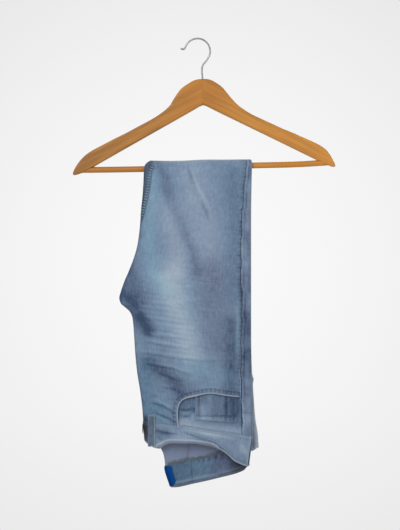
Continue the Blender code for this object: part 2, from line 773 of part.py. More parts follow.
def build_hanger(collection, cutters):
    wood = material("wood", WOOD, 0.45)
    bar = wire("bar", bar_points(HANGER_HALF - 10 * MM), BAR_RADIUS, wood, collection, 3)
    hook = wire("hook", hook_points(), WIRE_RADIUS, material("steel", STEEL, 0.2, 1.0), collection)
    socket = as_mesh(wire("cut_bar", bar_points(HANGER_HALF - 9.7 * MM), BAR_RADIUS + FIT, None, cutters, 3))
    stem = hook_points()[:3]
    lower = Vector(stem[0]) - Vector((0, 0, FIT))
    hole = as_mesh(wire("cut_hook", [lower] + stem[1:], WIRE_RADIUS + FIT, None, cutters))
    for name, side in (("hanger_arm_left", -1), ("hanger_arm_right", 1)):
        arm = as_mesh(flat_outline(name, arm_outline(side), ARM_THICK / 2, wood, collection, ARM_EDGE))
        cut(arm, socket)
        cut(arm, hole)
    as_mesh(bar)
    as_mesh(hook)


def main():
    for thing in list(bpy.data.objects):
        bpy.data.objects.remove(thing)
    collection = bpy.data.collections.new("Jeans on hanger")
    cutters = bpy.data.collections.new("Cutters")
    for made in (collection, cutters):
        bpy.context.scene.collection.children.link(made)
    build_hanger(collection, cutters)
    build_panels(collection, cutters)
    build_pockets(collection)
    build_loops(collection)
    build_fly(collection)
    build_label(collection)
    build_button(collection)


main()
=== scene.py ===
"""Jeans folded lengthwise and hung over the bar of a wooden hanger.

The cloth is laid in the same four layers as the frame's solids, counted out from
the bar: left front, left back, right back, right front. Tables are in millimetres
and list levels from the hook down.
"""

import math

import bmesh
import bpy
import numpy as np
from mathutils import Matrix, Vector


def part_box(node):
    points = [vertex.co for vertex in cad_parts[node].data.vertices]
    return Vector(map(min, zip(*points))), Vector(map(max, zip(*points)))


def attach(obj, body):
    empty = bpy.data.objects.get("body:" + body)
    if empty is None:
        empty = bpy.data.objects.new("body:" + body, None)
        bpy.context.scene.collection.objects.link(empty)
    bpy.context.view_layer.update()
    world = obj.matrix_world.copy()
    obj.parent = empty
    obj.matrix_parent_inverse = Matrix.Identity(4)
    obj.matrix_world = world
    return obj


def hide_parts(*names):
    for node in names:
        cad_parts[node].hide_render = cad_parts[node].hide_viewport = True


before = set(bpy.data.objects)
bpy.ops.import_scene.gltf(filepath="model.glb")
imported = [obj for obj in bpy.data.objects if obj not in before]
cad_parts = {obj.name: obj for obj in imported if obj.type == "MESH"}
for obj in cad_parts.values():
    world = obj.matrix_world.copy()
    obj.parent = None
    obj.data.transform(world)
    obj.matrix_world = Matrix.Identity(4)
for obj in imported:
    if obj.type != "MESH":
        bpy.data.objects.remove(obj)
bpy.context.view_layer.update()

bl_info = {
    "name": "Jeans on a hanger",
    "version": (1, 0, 0),
    "blender": (4, 5, 0),
    "location": "View3D > Sidebar > Jeans",
    "description": "Folded jeans over a wooden hanger, with denim, stitching and hardware",
    "category": "Object",
}

MM = 0.001

# Cloth
WALL = 1 * MM
BAND_WALL = 1.6 * MM
SEAM_GAP = 0.16 * MM
BAND_GAP = 1 * MM
CROTCH_GAP = 0.5 * MM
LAYER_GAP = 0.35 * MM
ON_TOP = WALL + LAYER_GAP
INNER_DEPTH = LAYER_GAP + WALL / 2
LOOP_WALL = 1.2 * MM
LOOP_WIDTH = 12 * MM
LOOP_STAND = 0.9 * MM
NEAR_SEAM = 8 * MM
SHARP_EDGE = 0.15 * MM
END_ROUND = 1.1
LEFT_HALF_SHIFT = 2.8 * MM
LEAST_ROUND = 0.3 * MM
CROWN_DRAW_LEFT = 9 * MM
CROWN_DRAW_RIGHT = 2 * MM
CROWN_RISE = 1.2 * MM
BAND_RAISE = 0.45 * MM
HEM_WIDTH = 8
COIN_LIFT = 1.25 * MM
TURN_LENGTH = 32
NEAR_LENGTH = 21
HIP_LENGTH = 80
BAND_COLUMNS = (76, 100)
YOKE_COLUMNS = 96
COARSER = 1.8

# Thread
THREAD_LIFT = 0.1 * MM
THREAD_FLAT = 0.5 * MM
CROSS_LENGTH = 8.5 * MM
CROSS_RADIUS = 0.85 * MM
CROSS_PITCH = 4.6 * MM
HEM_LIFT = 1.1 * MM
HEM_LINE_RISE = 11.5

# Shade behind the front belt loop: middle and half size, as x and level
LOOP_SHADE = ((-89.5, 8.6), (-657, 19))

# Colours that have no setting, as 0 to 255
# Painted shade, and the dark seam lines inside the yokes, darken the denim towards this colour
SHADE_AND_SEAM_COLOUR = (38, 41, 44)
NECK_COLOUR = (182, 112, 8)
BAR_GRAIN = (180, 114, 34)
WIRE_DARK = (96, 96, 100)
WIRE_PALE = (190, 190, 194)
ZIP_COLOUR = (120, 112, 96)

# Hanger
BAR_RADIUS = 5 * MM
BAR_MIDDLE = -216.7 * MM
BAR_SLOPE = 0.0353
BAR_SAG = 0.0715
BAR_DROP = 2.8 * MM
HANGER_HALF = 221.5 * MM
ARM_THICK = 13 * MM
ARM_EDGE = 3.4 * MM
HEAD_TOP = Vector((8.1 * MM, -67.4 * MM))
HANGER_TILT = math.radians(1.8)
WIRE_RADIUS = 1.5 * MM
WIRE_SIDES = 20
HOOK_CENTRE = (0, -20.1)
HOOK_RADIUS = 21.6
HOOK_TURN = (-12, 152)
HOOK_STEM = (
    (9.6, -92), (9, -78), (8.6, -67), (7.8, -57.6), (7.4, -49), (9.1, -42.9), (13.8, -37.7), (18.6, -31))
HOOK_TIP = ((-20.8, -13.6), (-22.4, -16.6), (-24.6, -16.9), (-28.4, -15.6))
HOOK_TIP_WIDTHS = (1, 1.1, 1.1, 0.85)
RIGHT_TIP_SHORTER = 3.6
LEFT_ARM_FULLER = 3

# Levels
OVER_LEVEL = -205
NEAR_LEVEL = -238
CROTCH_LEVEL = -437.5
HIP_START = -430
HIP_FULL = -446
HIP_LEVEL = -592
BOW_LEVEL = -612
SIDE_SEAM_LEVEL = -671
SIDE_EDGE_LEVEL = -720
BACK_SEAM_LEVEL = -720.5
BACK_EDGE_LEVEL = -755
LEG_HEM_LEVEL = -696.5
HEM_CURL = 6
YOKE_SHARE = 0.5

# Left and right outline of the front drop: level, x
LEFT_OUTLINE = (
    (-205, -89.5), (-228, -90.5), (-258, -92), (-289, -95), (-319, -97.2), (-349, -101.4),
    (-370, -107.3), (-390, -114.9), (-410, -123.4), (-427, -129.3), (-437, -131.8),
    (-446, -129.3), (-452, -122.5), (-461, -113.2), (-471, -109.5), (-501, -106.8),
    (-532, -104.8), (-562, -101.7), (-593, -96.7), (-623, -93), (-654, -90.8), (-672, -88.8),
)
RIGHT_OUTLINE = (
    (-205, 92.4), (-235, 91), (-258, 89.6), (-289, 88.6), (-319, 88), (-349, 88), (-390, 88.7),
    (-437, 89.6), (-532, 90.2), (-672, 90.2), (-686, 88), (-705, 85.4), (-720, 83.8),
)

# Outline of the legs behind: level, x
LEG_LEFT_OUTLINE = ((-205, -89.5), (-228, -90.5), (-500, -66), (-562, -60), (-654, -52), (-697, -48.4))
LEG_RIGHT_OUTLINE = (
    (-205, 92.4), (-300, 91), (-500, 91), (-562, 92.4), (-568, 93), (-575, 95.4), (-583, 94), (-595, 94.6),
    (-612, 95.7), (-642, 98.1), (-671, 102.5), (-697, 103.8),
)

# The centre-back fold, inside the front layers: level, x
BACK_FOLD = (
    (-437, -129), (-441, -125), (-446, -119), (-452, -112.4), (-461, -105.6), (-478, -101.4),
    (-501, -98), (-532, -94.6), (-562, -90.4), (-593, -86.2), (-623, -82), (-654, -76.1),
    (-672, -69.3), (-689, -62.5), (-698, -57.8), (-713, -55), (-723, -54.1), (-755, -44.5),
)

# Waist lines: x, level
FRONT_SEAM = ((-92, -645), (-80, -646), (-70, -648), (-25, -652), (20, -659), (72, -667), (91, -671))
FRONT_EDGE = (
    (-92, -671), (-88.2, -677.2), (-82, -682.8), (-74.2, -687.2), (-63.4, -689), (-54.9, -682.8),
    (-46.5, -679.7), (-38, -678.9), (-9.3, -678.9), (5.9, -680.6), (21.1, -683.9), (33, -688.2),
    (43.1, -693.2), (53.2, -701.7), (61.7, -709.8), (71.8, -715.2), (82, -719.1), (91, -720),
)
BACK_SEAM = ((-56, -720.5), (-30, -712.5), (13, -705.5), (45, -696.5), (82, -682), (91, -676))
BACK_EDGE = ((-46, -755), (-40, -755), (-7, -748.7), (38, -738.5), (77.4, -726.7), (85, -720), (91, -719))

# Spacing of the layers: level, the two walls of a leg at the left edge, middle
# and right edge, then the two legs from each other at the same places
FRONT_SPACING = (
    (-205, 3, 1.9, 1.25, 2.2, 1.7, 1.2),
    (-260, 3, 3, 2, 2.2, 1.8, 1.5),
    (-350, 3, 4.6, 2.4, 2.4, 2, 1.8),
    (-437, 3, 5, 3, 2.6, 2.4, 2),
    (-505, 3.2, 5.4, 3.6, 2.6, 4.9, 2.4),
    (-590, 3.4, 5.6, 4.5, 2.8, 5.2, 3.2),
    (-760, 3.6, 5.6, 4.5, 3.4, 5.2, 3.4),
)
LEG_SPACING = (
    (-205, 3, 1.9, 1.25, 2.2, 1.7, 1.2),
    (-300, 2.8, 3.4, 2.2, 2, 1.8, 1.6),
    (-500, 2.6, 5, 2.6, 1.8, 2, 1.8),
    (-640, 2.8, 8.4, 2.8, 1.8, 2.2, 1.8),
    (-693, 3, 9.6, 3, 1.8, 2.2, 1.8),
)

# Distance of the side seam from the right edge: level, distance
FRONT_STRIP = (
    (-205, 9.6), (-228, 10.5), (-316, 14), (-404, 16), (-446, 14.5), (-480, 15.5), (-525, 17.2),
    (-600, 16.6), (-660, 15.6), (-692, 14),
)
LEG_STRIP = ((-205, 9.6), (-300, 13.5), (-697, 13.5))

# Shade of the strip outside the side seam: level, lightness
STRIP_SHADE = (
    (-205, -0.03), (-235, -0.14), (-320, -0.14), (-360, -0.09), (-420, -0.08), (-455, -0.13), (-498, -0.26),
    (-540, -0.28), (-582, -0.25), (-610, -0.06), (-640, 0), (-700, 0),
)

# How far the inseam lies round the left edge onto the outer face: level, distance
FRONT_INSEAM_TURN = (
    (-205, 16), (-231, 13.5), (-258, 11), (-278, 8.5), (-295, 6), (-319, 1.5), (-350, 0), (-437, 0))
LEG_INSEAM_TURN = ((-205, 16), (-260, 12), (-350, 9), (-697, 4))

# Largest folds of the right front: x and level of both ends, half width, height
FOLDS = (
    (-18, -218, 0, -305, 10, 1.6),
    (-66, -222, -6, -390, 22, 2.2),
    (-84, -612, -26, -652, 11, 4),
    (-100, -500, -20, -545, 16, 2),
    (-96, -455, -30, -470, 16, 1.8),
    (-70, -575, 20, -560, 18, 1.6),
)
WAIST_BOW = {"right": 15 * MM, "left": -5.5 * MM}
BOW_POWER = 1.6

# Finer creases of the right front: half width, height, share of a trough beside it,
# then the line it follows as x, level
CREASES = (
    (3.2, -1.5, -0.6, ((-19, -214), (-6, -246), (9, -280), (19, -307))),
    (13, -2.2, -0.3, ((-67, -221), (-55, -255), (-38, -297), (-9, -348), (-4, -392))),
    (5, 0.9, 0.6, ((-78, -224), (-74, -262), (-64, -300))),
    (4, 0.8, 0.5, ((2, -226), (24, -262), (38, -318))),
    (5, 0.7, 0.5, ((30, -212), (44, -250), (47, -300))),
    (3.2, 1.1, 0.7, ((-101, -521), (-60, -527), (-16, -534), (44, -536))),
    (3, 1.1, 0.7, ((-90, -503), (-50, -512), (-16, -517), (20, -515))),
    (2.6, 0.9, 0.7, ((-84, -493), (-42, -501), (0, -500))),
    (2.8, 0.8, 0.6, ((-88, -440), (-42, -444), (0, -438))),
    (3, 0.6, 0.5, ((-46, -419), (3, -415), (40, -420))),
    (2.6, 1, 0.7, ((-90, -540), (-39, -549), (-14, -558), (24, -572))),
    (2.4, 0.8, 0.6, ((-72, -556), (-28, -571), (4, -580))),
    (2.8, 0.8, 0.6, ((-104, -478), (-70, -486), (-34, -486))),
    (2.4, 0.7, 0.6, ((-98, -464), (-60, -470), (-30, -466))),
    (3.4, 0.9, 0.6, ((-92, -566), (-52, -572), (-14, -570))),
    (4, 1.2, 0.8, ((-78, -616), (-56, -624), (-44, -631))),
    (4, 1.3, 0.8, ((-71, -630), (-50, -640), (-34, -647))),
    (3, 0.8, 0.6, ((-104, -530), (-86, -560), (-82, -592))),
    (3, -0.8, -0.6, ((-82, -541), (-42, -570), (-30, -596))),
)

# Long soft folds of the legs behind, as CREASES
LEG_CREASES = (
    (12, -2.2, -0.4, ((-58, -232), (-30, -330), (4, -450), (16, -560))),
    (10, 2, 0.4, ((40, -220), (36, -360), (54, -520), (62, -640))),
    (5, 1.2, 0.7, ((-62, -300), (-20, -352), (20, -392))),
    (5, 1.1, 0.7, ((70, -330), (34, -372), (4, -400))),
    (4, 1, 0.7, ((-52, -372), (-12, -392), (40, -402))),
    (5, 1, 0.6, ((-46, -600), (-10, -622), (30, -640))),
    (4, 1, 0.6, ((80, -560), (50, -600), (20, -622))),
)

# Wash fades of the right front with painted shade along its folds, then narrower pale whiskers with painted
# shade and highlight along its creases: half width, lightness, teal, then the line it follows
FADES_AND_FOLD_SHADES = (
    (12, 0.14, 0.5, ((-72, -222), (-76, -262), (-82, -322), (-77, -390), (-55, -424))),
    (20, 0.2, -0.25, ((-50, -290), (-30, -380))),
    (30, 0.2, -0.2, ((-6, -222), (13, -350))),
    (10, -0.17, -0.1, ((-64, -214), (-43, -280), (-8, -356), (-3, -390))),
    (15, -0.1, 0.12, ((62, -225), (60, -441))),
    (14, -0.25, 0, ((58, -480), (56, -590))),
    (24, -0.1, -0.35, ((24, -390), (28, -525))),
    (24, 0.39, 0.05, ((-44, -402), (-33, -457), (-12, -525))),
    (14, -0.3, -0.05, ((-124, -432), (-109, -450))),
    (12, -0.46, -0.15, ((-95, -470), (-84, -492))),
    (15, -0.2, -0.08, ((-114, -392), (-99, -436))),
    (16, -0.12, 0.4, ((-88, -550), (-86, -622))),
    (15, -0.27, -0.1, ((-78, -545), (-43, -572), (-24, -596))),
    (8, -0.4, 0.05, ((-90, -640), (-88, -652))),
    (20, 0.06, 0.3, ((-13, -550), (46, -567))),
    (20, -0.02, 0.35, ((-64, -628), (-60, -640))),
    (9, -0.1, -0.1, ((14, -620), (70, -612))),
)
WHISKERS_AND_CREASE_SHADES = (
    (2.2, 0.16, 0, ((-101, -523), (-16, -536), (44, -538))),
    (2, 0.15, 0, ((-90, -505), (-16, -519))),
    (1.8, 0.13, 0, ((-84, -495), (-20, -503))),
    (2.2, 0.12, 0, ((-88, -440), (-42, -445), (0, -439))),
    (2, 0.1, 0, ((-46, -419), (3, -415))),
    (2.2, 0.16, 0, ((-88, -543), (-39, -552), (-8, -562))),
    (1.8, -0.16, 0, ((-70, -561), (-28, -577))),
    (1.8, 0.12, 0.1, ((-96, -466), (-40, -472))),
    (1.8, 0.12, 0.1, ((-70, -482), (-10, -488))),
    (1.8, -0.16, 0, ((-98, -528), (-30, -540), (30, -544))),
    (1.8, -0.14, 0, ((-92, -510), (-30, -522))),
    (1.6, -0.14, 0, ((-84, -500), (-30, -508))),
    (1.8, -0.16, 0, ((-86, -548), (-39, -556), (-12, -567))),
    (3, -0.22, 0, ((-17, -216), (-6, -246))),
    (2.6, -0.24, 0, ((7, -274), (19, -306))),
    (2.4, 0.16, 0, ((-12, -218), (0, -248), (22, -290))),
    (2.2, -0.26, 0, ((-78, -612), (-58, -618), (-36, -632))),
    (2.2, -0.3, 0, ((-74, -628), (-48, -638), (-32, -648))),
    (2, 0.14, 0, ((-74, -604), (-44, -620))),
    (2, 0.12, 0.1, ((-68, -635), (-46, -645))),
    (3.9, 0.2, 0.2, ((68, -436), (68, -492), (67, -536))),
    (2, -0.16, 0, ((-66, -586), (-40, -590), (-24, -598))),
)

# The scooped pocket opening: x, level
POCKET_OPENING = (
    (-31.6, -654), (-33.4, -642), (-34, -626), (-32, -616.8), (-28.6, -610.6), (-24, -606.3),
    (-15.9, -603.4), (-6.4, -601.7), (3.2, -599.2), (12.9, -596.9), (22.5, -596.2), (32.2, -597.2),
    (41.7, -599.2), (54.3, -600.8), (70.6, -602.6),
)
POCKET_TOP = -578
POCKET_LEFT = -46
COIN_POCKET_ENDS = (-3.4, 66)
COIN_POCKET_TOP = -594.5
COIN_POCKET_HEM = (-640.5, -645.8)
BACK_POCKET_ENDS = (-50, 60)
BACK_POCKET_TOP = -508
BACK_POCKET_HEM = (-634, -641)

# Turned edge of a pocket opening: distance above its outermost line, height
HEM_PROFILE = (
    (HEM_WIDTH, 0.35), (7.5, 0.75), (6.3, 0.85), (5.4, 0.6), (4.6, 0.85), (3.7, 0.85), (2.9, 0.6),
    (2, 0.9), (1.2, 1.05), (0.5, 1.15), (-0.1, 0.95), (-0.6, 0.45), (-0.8, -0.3),
)
HEM_STITCHES = (2.9, 5.9)
OPENING_CUT_BACK = 4.2

# Belt loops: name, layer, x, top and bottom level, side of the layer
BELT_LOOPS = (
    ("belt_loop_right_front", "right front", -77, (-631, -686), 1),
    ("belt_loop_left_front", "left front", -77, (-631, -686), -1),
    ("belt_loop_right_back", "right back", 22, (-690, -741), -1),
    ("belt_loop_left_back", "left back", 2, (-692, -745), 1),
    ("belt_loop_centre_back", "right back", -36, (-704, -752), -1),
)

# Width of the fly placket: level, width
PLACKET_WIDTH = ((-641, 40), (-575, 40), (-545, 36), (-525, 27), (-515, 14))

# Section of the waist button: share of its radius, share of its thickness
BUTTON_PROFILE = (
    (0, -0.15), (0.45, -0.15), (0.6, 0), (0.86, 0.05), (1, -0.1), (1, -0.4), (0.8, -0.5),
    (0, -0.5),
)

# Distances of the label's columns from the fold that it is sewn over
LABEL_RUNS = (-11, -9, -7, -5, -3, -2, -1, 0, 1, 2, 3, 5, 7, 9, 11, 13, 14.4)

# Pale fades on the front of the waistband, with painted shade along its folds and beside the button at its
# left end: half width, lightness, teal, line
BAND_FADES_AND_SHADES = (
    (3.2, 0.14, 0.25, ((-24, -655), (10, -661), (66, -672))),
    (4, 0.1, 0.45, ((4, -661), (34, -668))),
    (5, 0.1, 0.35, ((70, -680), (84, -700))),
    (1.5, -0.28, -0.1, ((-22, -661), (4, -671), (31, -680), (44, -693))),
    (1.3, -0.2, -0.1, ((-10, -670), (12, -676), (36, -688))),
    (1.6, 0.14, 0, ((-16, -667), (12, -674), (36, -684))),
    (2.2, -0.32, 0, ((-72, -658), (-52, -663), (-34, -664))),
    (2, -0.14, 0, ((-70, -670), (-54, -676), (-44, -677))),
    (7, -0.7, 0.1, ((-92, -645), (-90, -665), (-87, -680))),
    (9, -0.22, 0, ((-72, -662), (-44, -668))),
    (5, 0.1, -0.2, ((-40, -668), (-10, -672))),
)
# Folds of the waistband, as CREASES
BAND_CREASES = (
    (2.6, -1.1, -0.7, ((-22, -664), (4, -672), (31, -680), (44, -693))),
    (3, -1, -0.6, ((-72, -659), (-52, -663), (-34, -664))),
    (3, 0.9, 0.5, ((-60, -672), (-30, -671), (10, -676))),
    (4, 0.9, 0.5, ((36, -676), (62, -688), (80, -702))),
)

# Painted shade and highlight of wrinkles on the pocket facing: half width, lightness, line
FACING_WRINKLE_SHADES = (
    (1.9, -0.26, ((-31, -624), (-16, -625), (-3, -620))),
    (2.2, 0.12, ((-29, -630), (-10, -629))),
    (1.7, -0.24, ((-26, -635), (-12, -635))),
    (1.8, -0.2, ((-2, -619), (-10, -632))),
    (2.4, 0.22, ((-6, -628), (-8, -643))),
    (2.2, 0.16, ((-30, -641), (-14, -641))),
    (2.5, -0.16, ((68, -605), (69, -638))),
)

# Upper and lower edge of one arm: distance from the middle, height under the head's top
ARM_UPPER = (
    (0, 0), (6, -0.2), (13, -1.6), (23, -7), (33, -14.6), (42, -26), (52, -38.5), (62, -48.5), (72, -56),
    (82, -62.3), (92, -67.6), (112, -77.5), (132, -87.5), (152, -96.5), (172, -106.2), (192, -116.3),
    (202, -123), (212, -133), (218, -141),
)
ARM_TIP = ((221, -146), (223, -150.5), (224, -154), (222, -155.6), (216, -154.4), (206, -151.3))
ARM_LOWER = ((200, -148.5), (150, -122), (100, -95.6), (50, -69.4), (14, -50.4), (6, -45.6), (0, -43.8))


# Section of the backdrop, in metres: distance from the middle, height
FLOOR = -1.35
BOWL_PROFILE = (
    (0.02, FLOOR), (3.4, FLOOR), (4.2, FLOOR + 0.1), (4.8, FLOOR + 0.4), (5.2, FLOOR + 1),
    (5.3, FLOOR + 1.8), (5.3, FLOOR + 4.6),
)
# Glow of the backdrop, a painted pool of light: brightest behind the object, dimmer outwards and on the
# floor
GLOW_POOL_BRIGHT = 0.955
GLOW_POOL_DIM = 0.806
PICTURE_MIDDLE = (0.0042, -0.3815)
LIGHT_AIM = (0, 0, -0.42)
LIGHT_SIZE = 1.6


class Curve:
    """Smooth line through (key, value) rows that never overshoots them."""

    def __init__(self, rows):
        keys, values = np.array(sorted(rows), dtype=float).T
        steps = np.diff(keys)
        slopes = np.diff(values) / steps
        tangents = np.empty(len(keys))
        tangents[0], tangents[-1] = slopes[0], slopes[-1]
        for i in range(1, len(slopes)):
            if slopes[i - 1] * slopes[i] <= 0:
                tangents[i] = 0
            else:
                before = 2 * steps[i] + steps[i - 1]
                after = steps[i] + 2 * steps[i - 1]
                tangents[i] = (before + after) / (before / slopes[i - 1] + after / slopes[i])
        self.keys = np.linspace(keys[0], keys[-1], 900)
        i = np.clip(np.searchsorted(keys, self.keys) - 1, 0, len(steps) - 1)
        t = (self.keys - keys[i]) / steps[i]
        ease = t * t * (3 - 2 * t)
        bend = t * (1 - t) * ((1 - t) * tangents[i] - t * tangents[i + 1]) * steps[i]
        self.values = values[i] + (values[i + 1] - values[i]) * ease + bend

    def __call__(self, key):
        return np.interp(key, self.keys, self.values)


def columns_of(table):
    """One curve for each value column of a table whose first column is the key."""
    return [Curve([(row[0], row[i]) for row in table]) for i in range(1, len(table[0]))]


left_outline = Curve(LEFT_OUTLINE)
right_outline = Curve(RIGHT_OUTLINE)
leg_left_outline = Curve(LEG_LEFT_OUTLINE)
leg_right_outline = Curve(LEG_RIGHT_OUTLINE)
back_fold = Curve(BACK_FOLD)
front_seam = Curve(FRONT_SEAM)
front_edge = Curve(FRONT_EDGE)
back_seam = Curve(BACK_SEAM)
back_edge = Curve(BACK_EDGE)
front_spacing = columns_of(FRONT_SPACING)
leg_spacing = columns_of(LEG_SPACING)
front_inseam_turn = Curve(FRONT_INSEAM_TURN)
leg_inseam_turn = Curve(LEG_INSEAM_TURN)
front_strip = Curve(FRONT_STRIP)
leg_strip = Curve(LEG_STRIP)
strip_shade = Curve(STRIP_SHADE)


def mix(a, b, share):
    return a + (b - a) * share


def ease(value, start, end):
    """0 before start, 1 after end, and a soft step between them."""
    t = np.clip((value - start) / (end - start), 0, 1)
    return t * t * (3 - 2 * t)


def bell(value, middle, width):
    """1 at the middle, falling smoothly to nothing about two widths away."""
    return np.exp(-((value - middle) / width) ** 2)


def seam_wobble(level):
    """Uneven run of the side seam in millimetres, still where it crosses the bar."""
    return (0.55 * np.sin(level / 8.3) + 0.35 * np.sin(level / 3.9 + 1)) * ease(-level, 218, 260)


def seam_depth(level):
    """How strongly the side seam is sunk and faded at a level."""
    spots = np.maximum(np.cos(math.tau * (level + 347) / 19.3), 0) ** 3 * ease(level, -420, -400)
    pressed = bell(level, -425, 15) + 0.8 * bell(level, -475, 34)
    return 0.4 + 0.12 * np.sin(level / 13 + 2 * np.sin(level / 57)) + 0.45 * spots + 0.8 * pressed


def bar_height(x):
    return BAR_MIDDLE + BAR_SLOPE * x + BAR_SAG * x * x


def across(share, left, middle, right):
    """Value at a share of the width, eased from the edges to the middle."""
    share = np.clip(share, 0, 1)
    edge = np.where(share < 0.5, left, right)
    return mix(edge, middle, np.sin(math.pi * share) ** 0.8)


def waist_bow(half, share, x, level):
    """How far the open waist stands out from the flat layers."""
    depth = (BOW_LEVEL - level) / (BOW_LEVEL - front_edge(x / MM))
    swell = np.sin(math.pi * np.clip(share, 0, 1) ** 0.9) ** 1.3
    return WAIST_BOW[half] * swell * np.clip(depth, 0, 1.05) ** BOW_POWER


def fold_height(x, level):
    """Rise of the right front's largest folds at a point."""
    total = 0
    for x0, z0, x1, z1, half_width, height in FOLDS:
        dx, dz = x1 - x0, z1 - z0
        share = np.clip(((x / MM - x0) * dx + (level - z0) * dz) / (dx * dx + dz * dz), 0, 1)
        away = (x / MM - x0 - dx * share) ** 2 + (level - z0 - dz * share) ** 2
        total += height * MM * np.sin(math.pi * share) ** 0.5 * np.exp(-away / half_width ** 2)
    return total


def beside(x, level, path):
    """Signed distance from a drawn line, and how far along it the nearest place is."""
    lengths = [math.dist(a, b) for a, b in zip(path, path[1:])]
    total = sum(lengths)
    nearest = np.full(np.shape(x), 1e9)
    signed = np.zeros(np.shape(x))
    along = np.zeros(np.shape(x))
    done = 0
    for (x0, z0), (x1, z1), length in zip(path, path[1:], lengths):
        dx, dz = (x1 - x0) / length, (z1 - z0) / length
        run = np.clip((x - x0) * dx + (level - z0) * dz, 0, length)
        away = np.hypot(x - x0 - dx * run, level - z0 - dz * run)
        side = np.sign((x - x0) * dz - (level - z0) * dx)
        closer = away < nearest
        nearest = np.where(closer, away, nearest)
        signed = np.where(closer, away * side, signed)
        along = np.where(closer, (done + run) / total, along)
        done += length
    return signed, along


def creased(x, level, creases):
    """Height in millimetres of drawn creases, each a ridge with a softer trough beside it."""
    total = np.zeros(np.shape(x))
    for half_width, height, trough, path in creases:
        away, along = beside(x, level, path)
        taper = np.sin(math.pi * np.clip(along, 0, 1)) ** 0.6
        ridge = bell(away, 0, half_width)
        hollow = bell(away, 1.9 * half_width, 1.2 * half_width)
        total += height * taper * (ridge - abs(trough) * 0.6 * hollow)
    return total


def ripple(x, level, phase):
    """Slow uneven waves of limp cloth, about one millimetre high."""
    wave = np.sin(x / 23 + level / 61 + phase) * np.sin(level / 37 - x / 71 + 1.7 * phase)
    wave += 0.6 * np.sin(x / 11 - level / 29 + 2.3 * phase) * np.sin(level / 19 + x / 43 + phase)
    return wave + 0.35 * np.sin(x / 6.5 + level / 13 + 3.1 * phase) * np.sin(level / 9 - x / 17)


def pucker(x, level):
    """Waves where a seam has shrunk the cloth, 7 mm apart; from -1 to 1."""
    return np.sin(math.tau * level / 7 + 0.9 * ripple(x, level, 2.2))


def whiskers(x, level):
    """Fine slanting lines of wear below the crotch; from -1 to 1."""
    slant = level + 0.16 * x + 2.2 * ripple(x / 2, level / 2, 0.3)
    zone = bell(x, -42, 52) * bell(level, -482, 86)
    fade = 0.6 + 0.4 * np.sin(x / 17 + level / 23)
    return np.sin(math.tau * slant / 8.6) * zone * fade


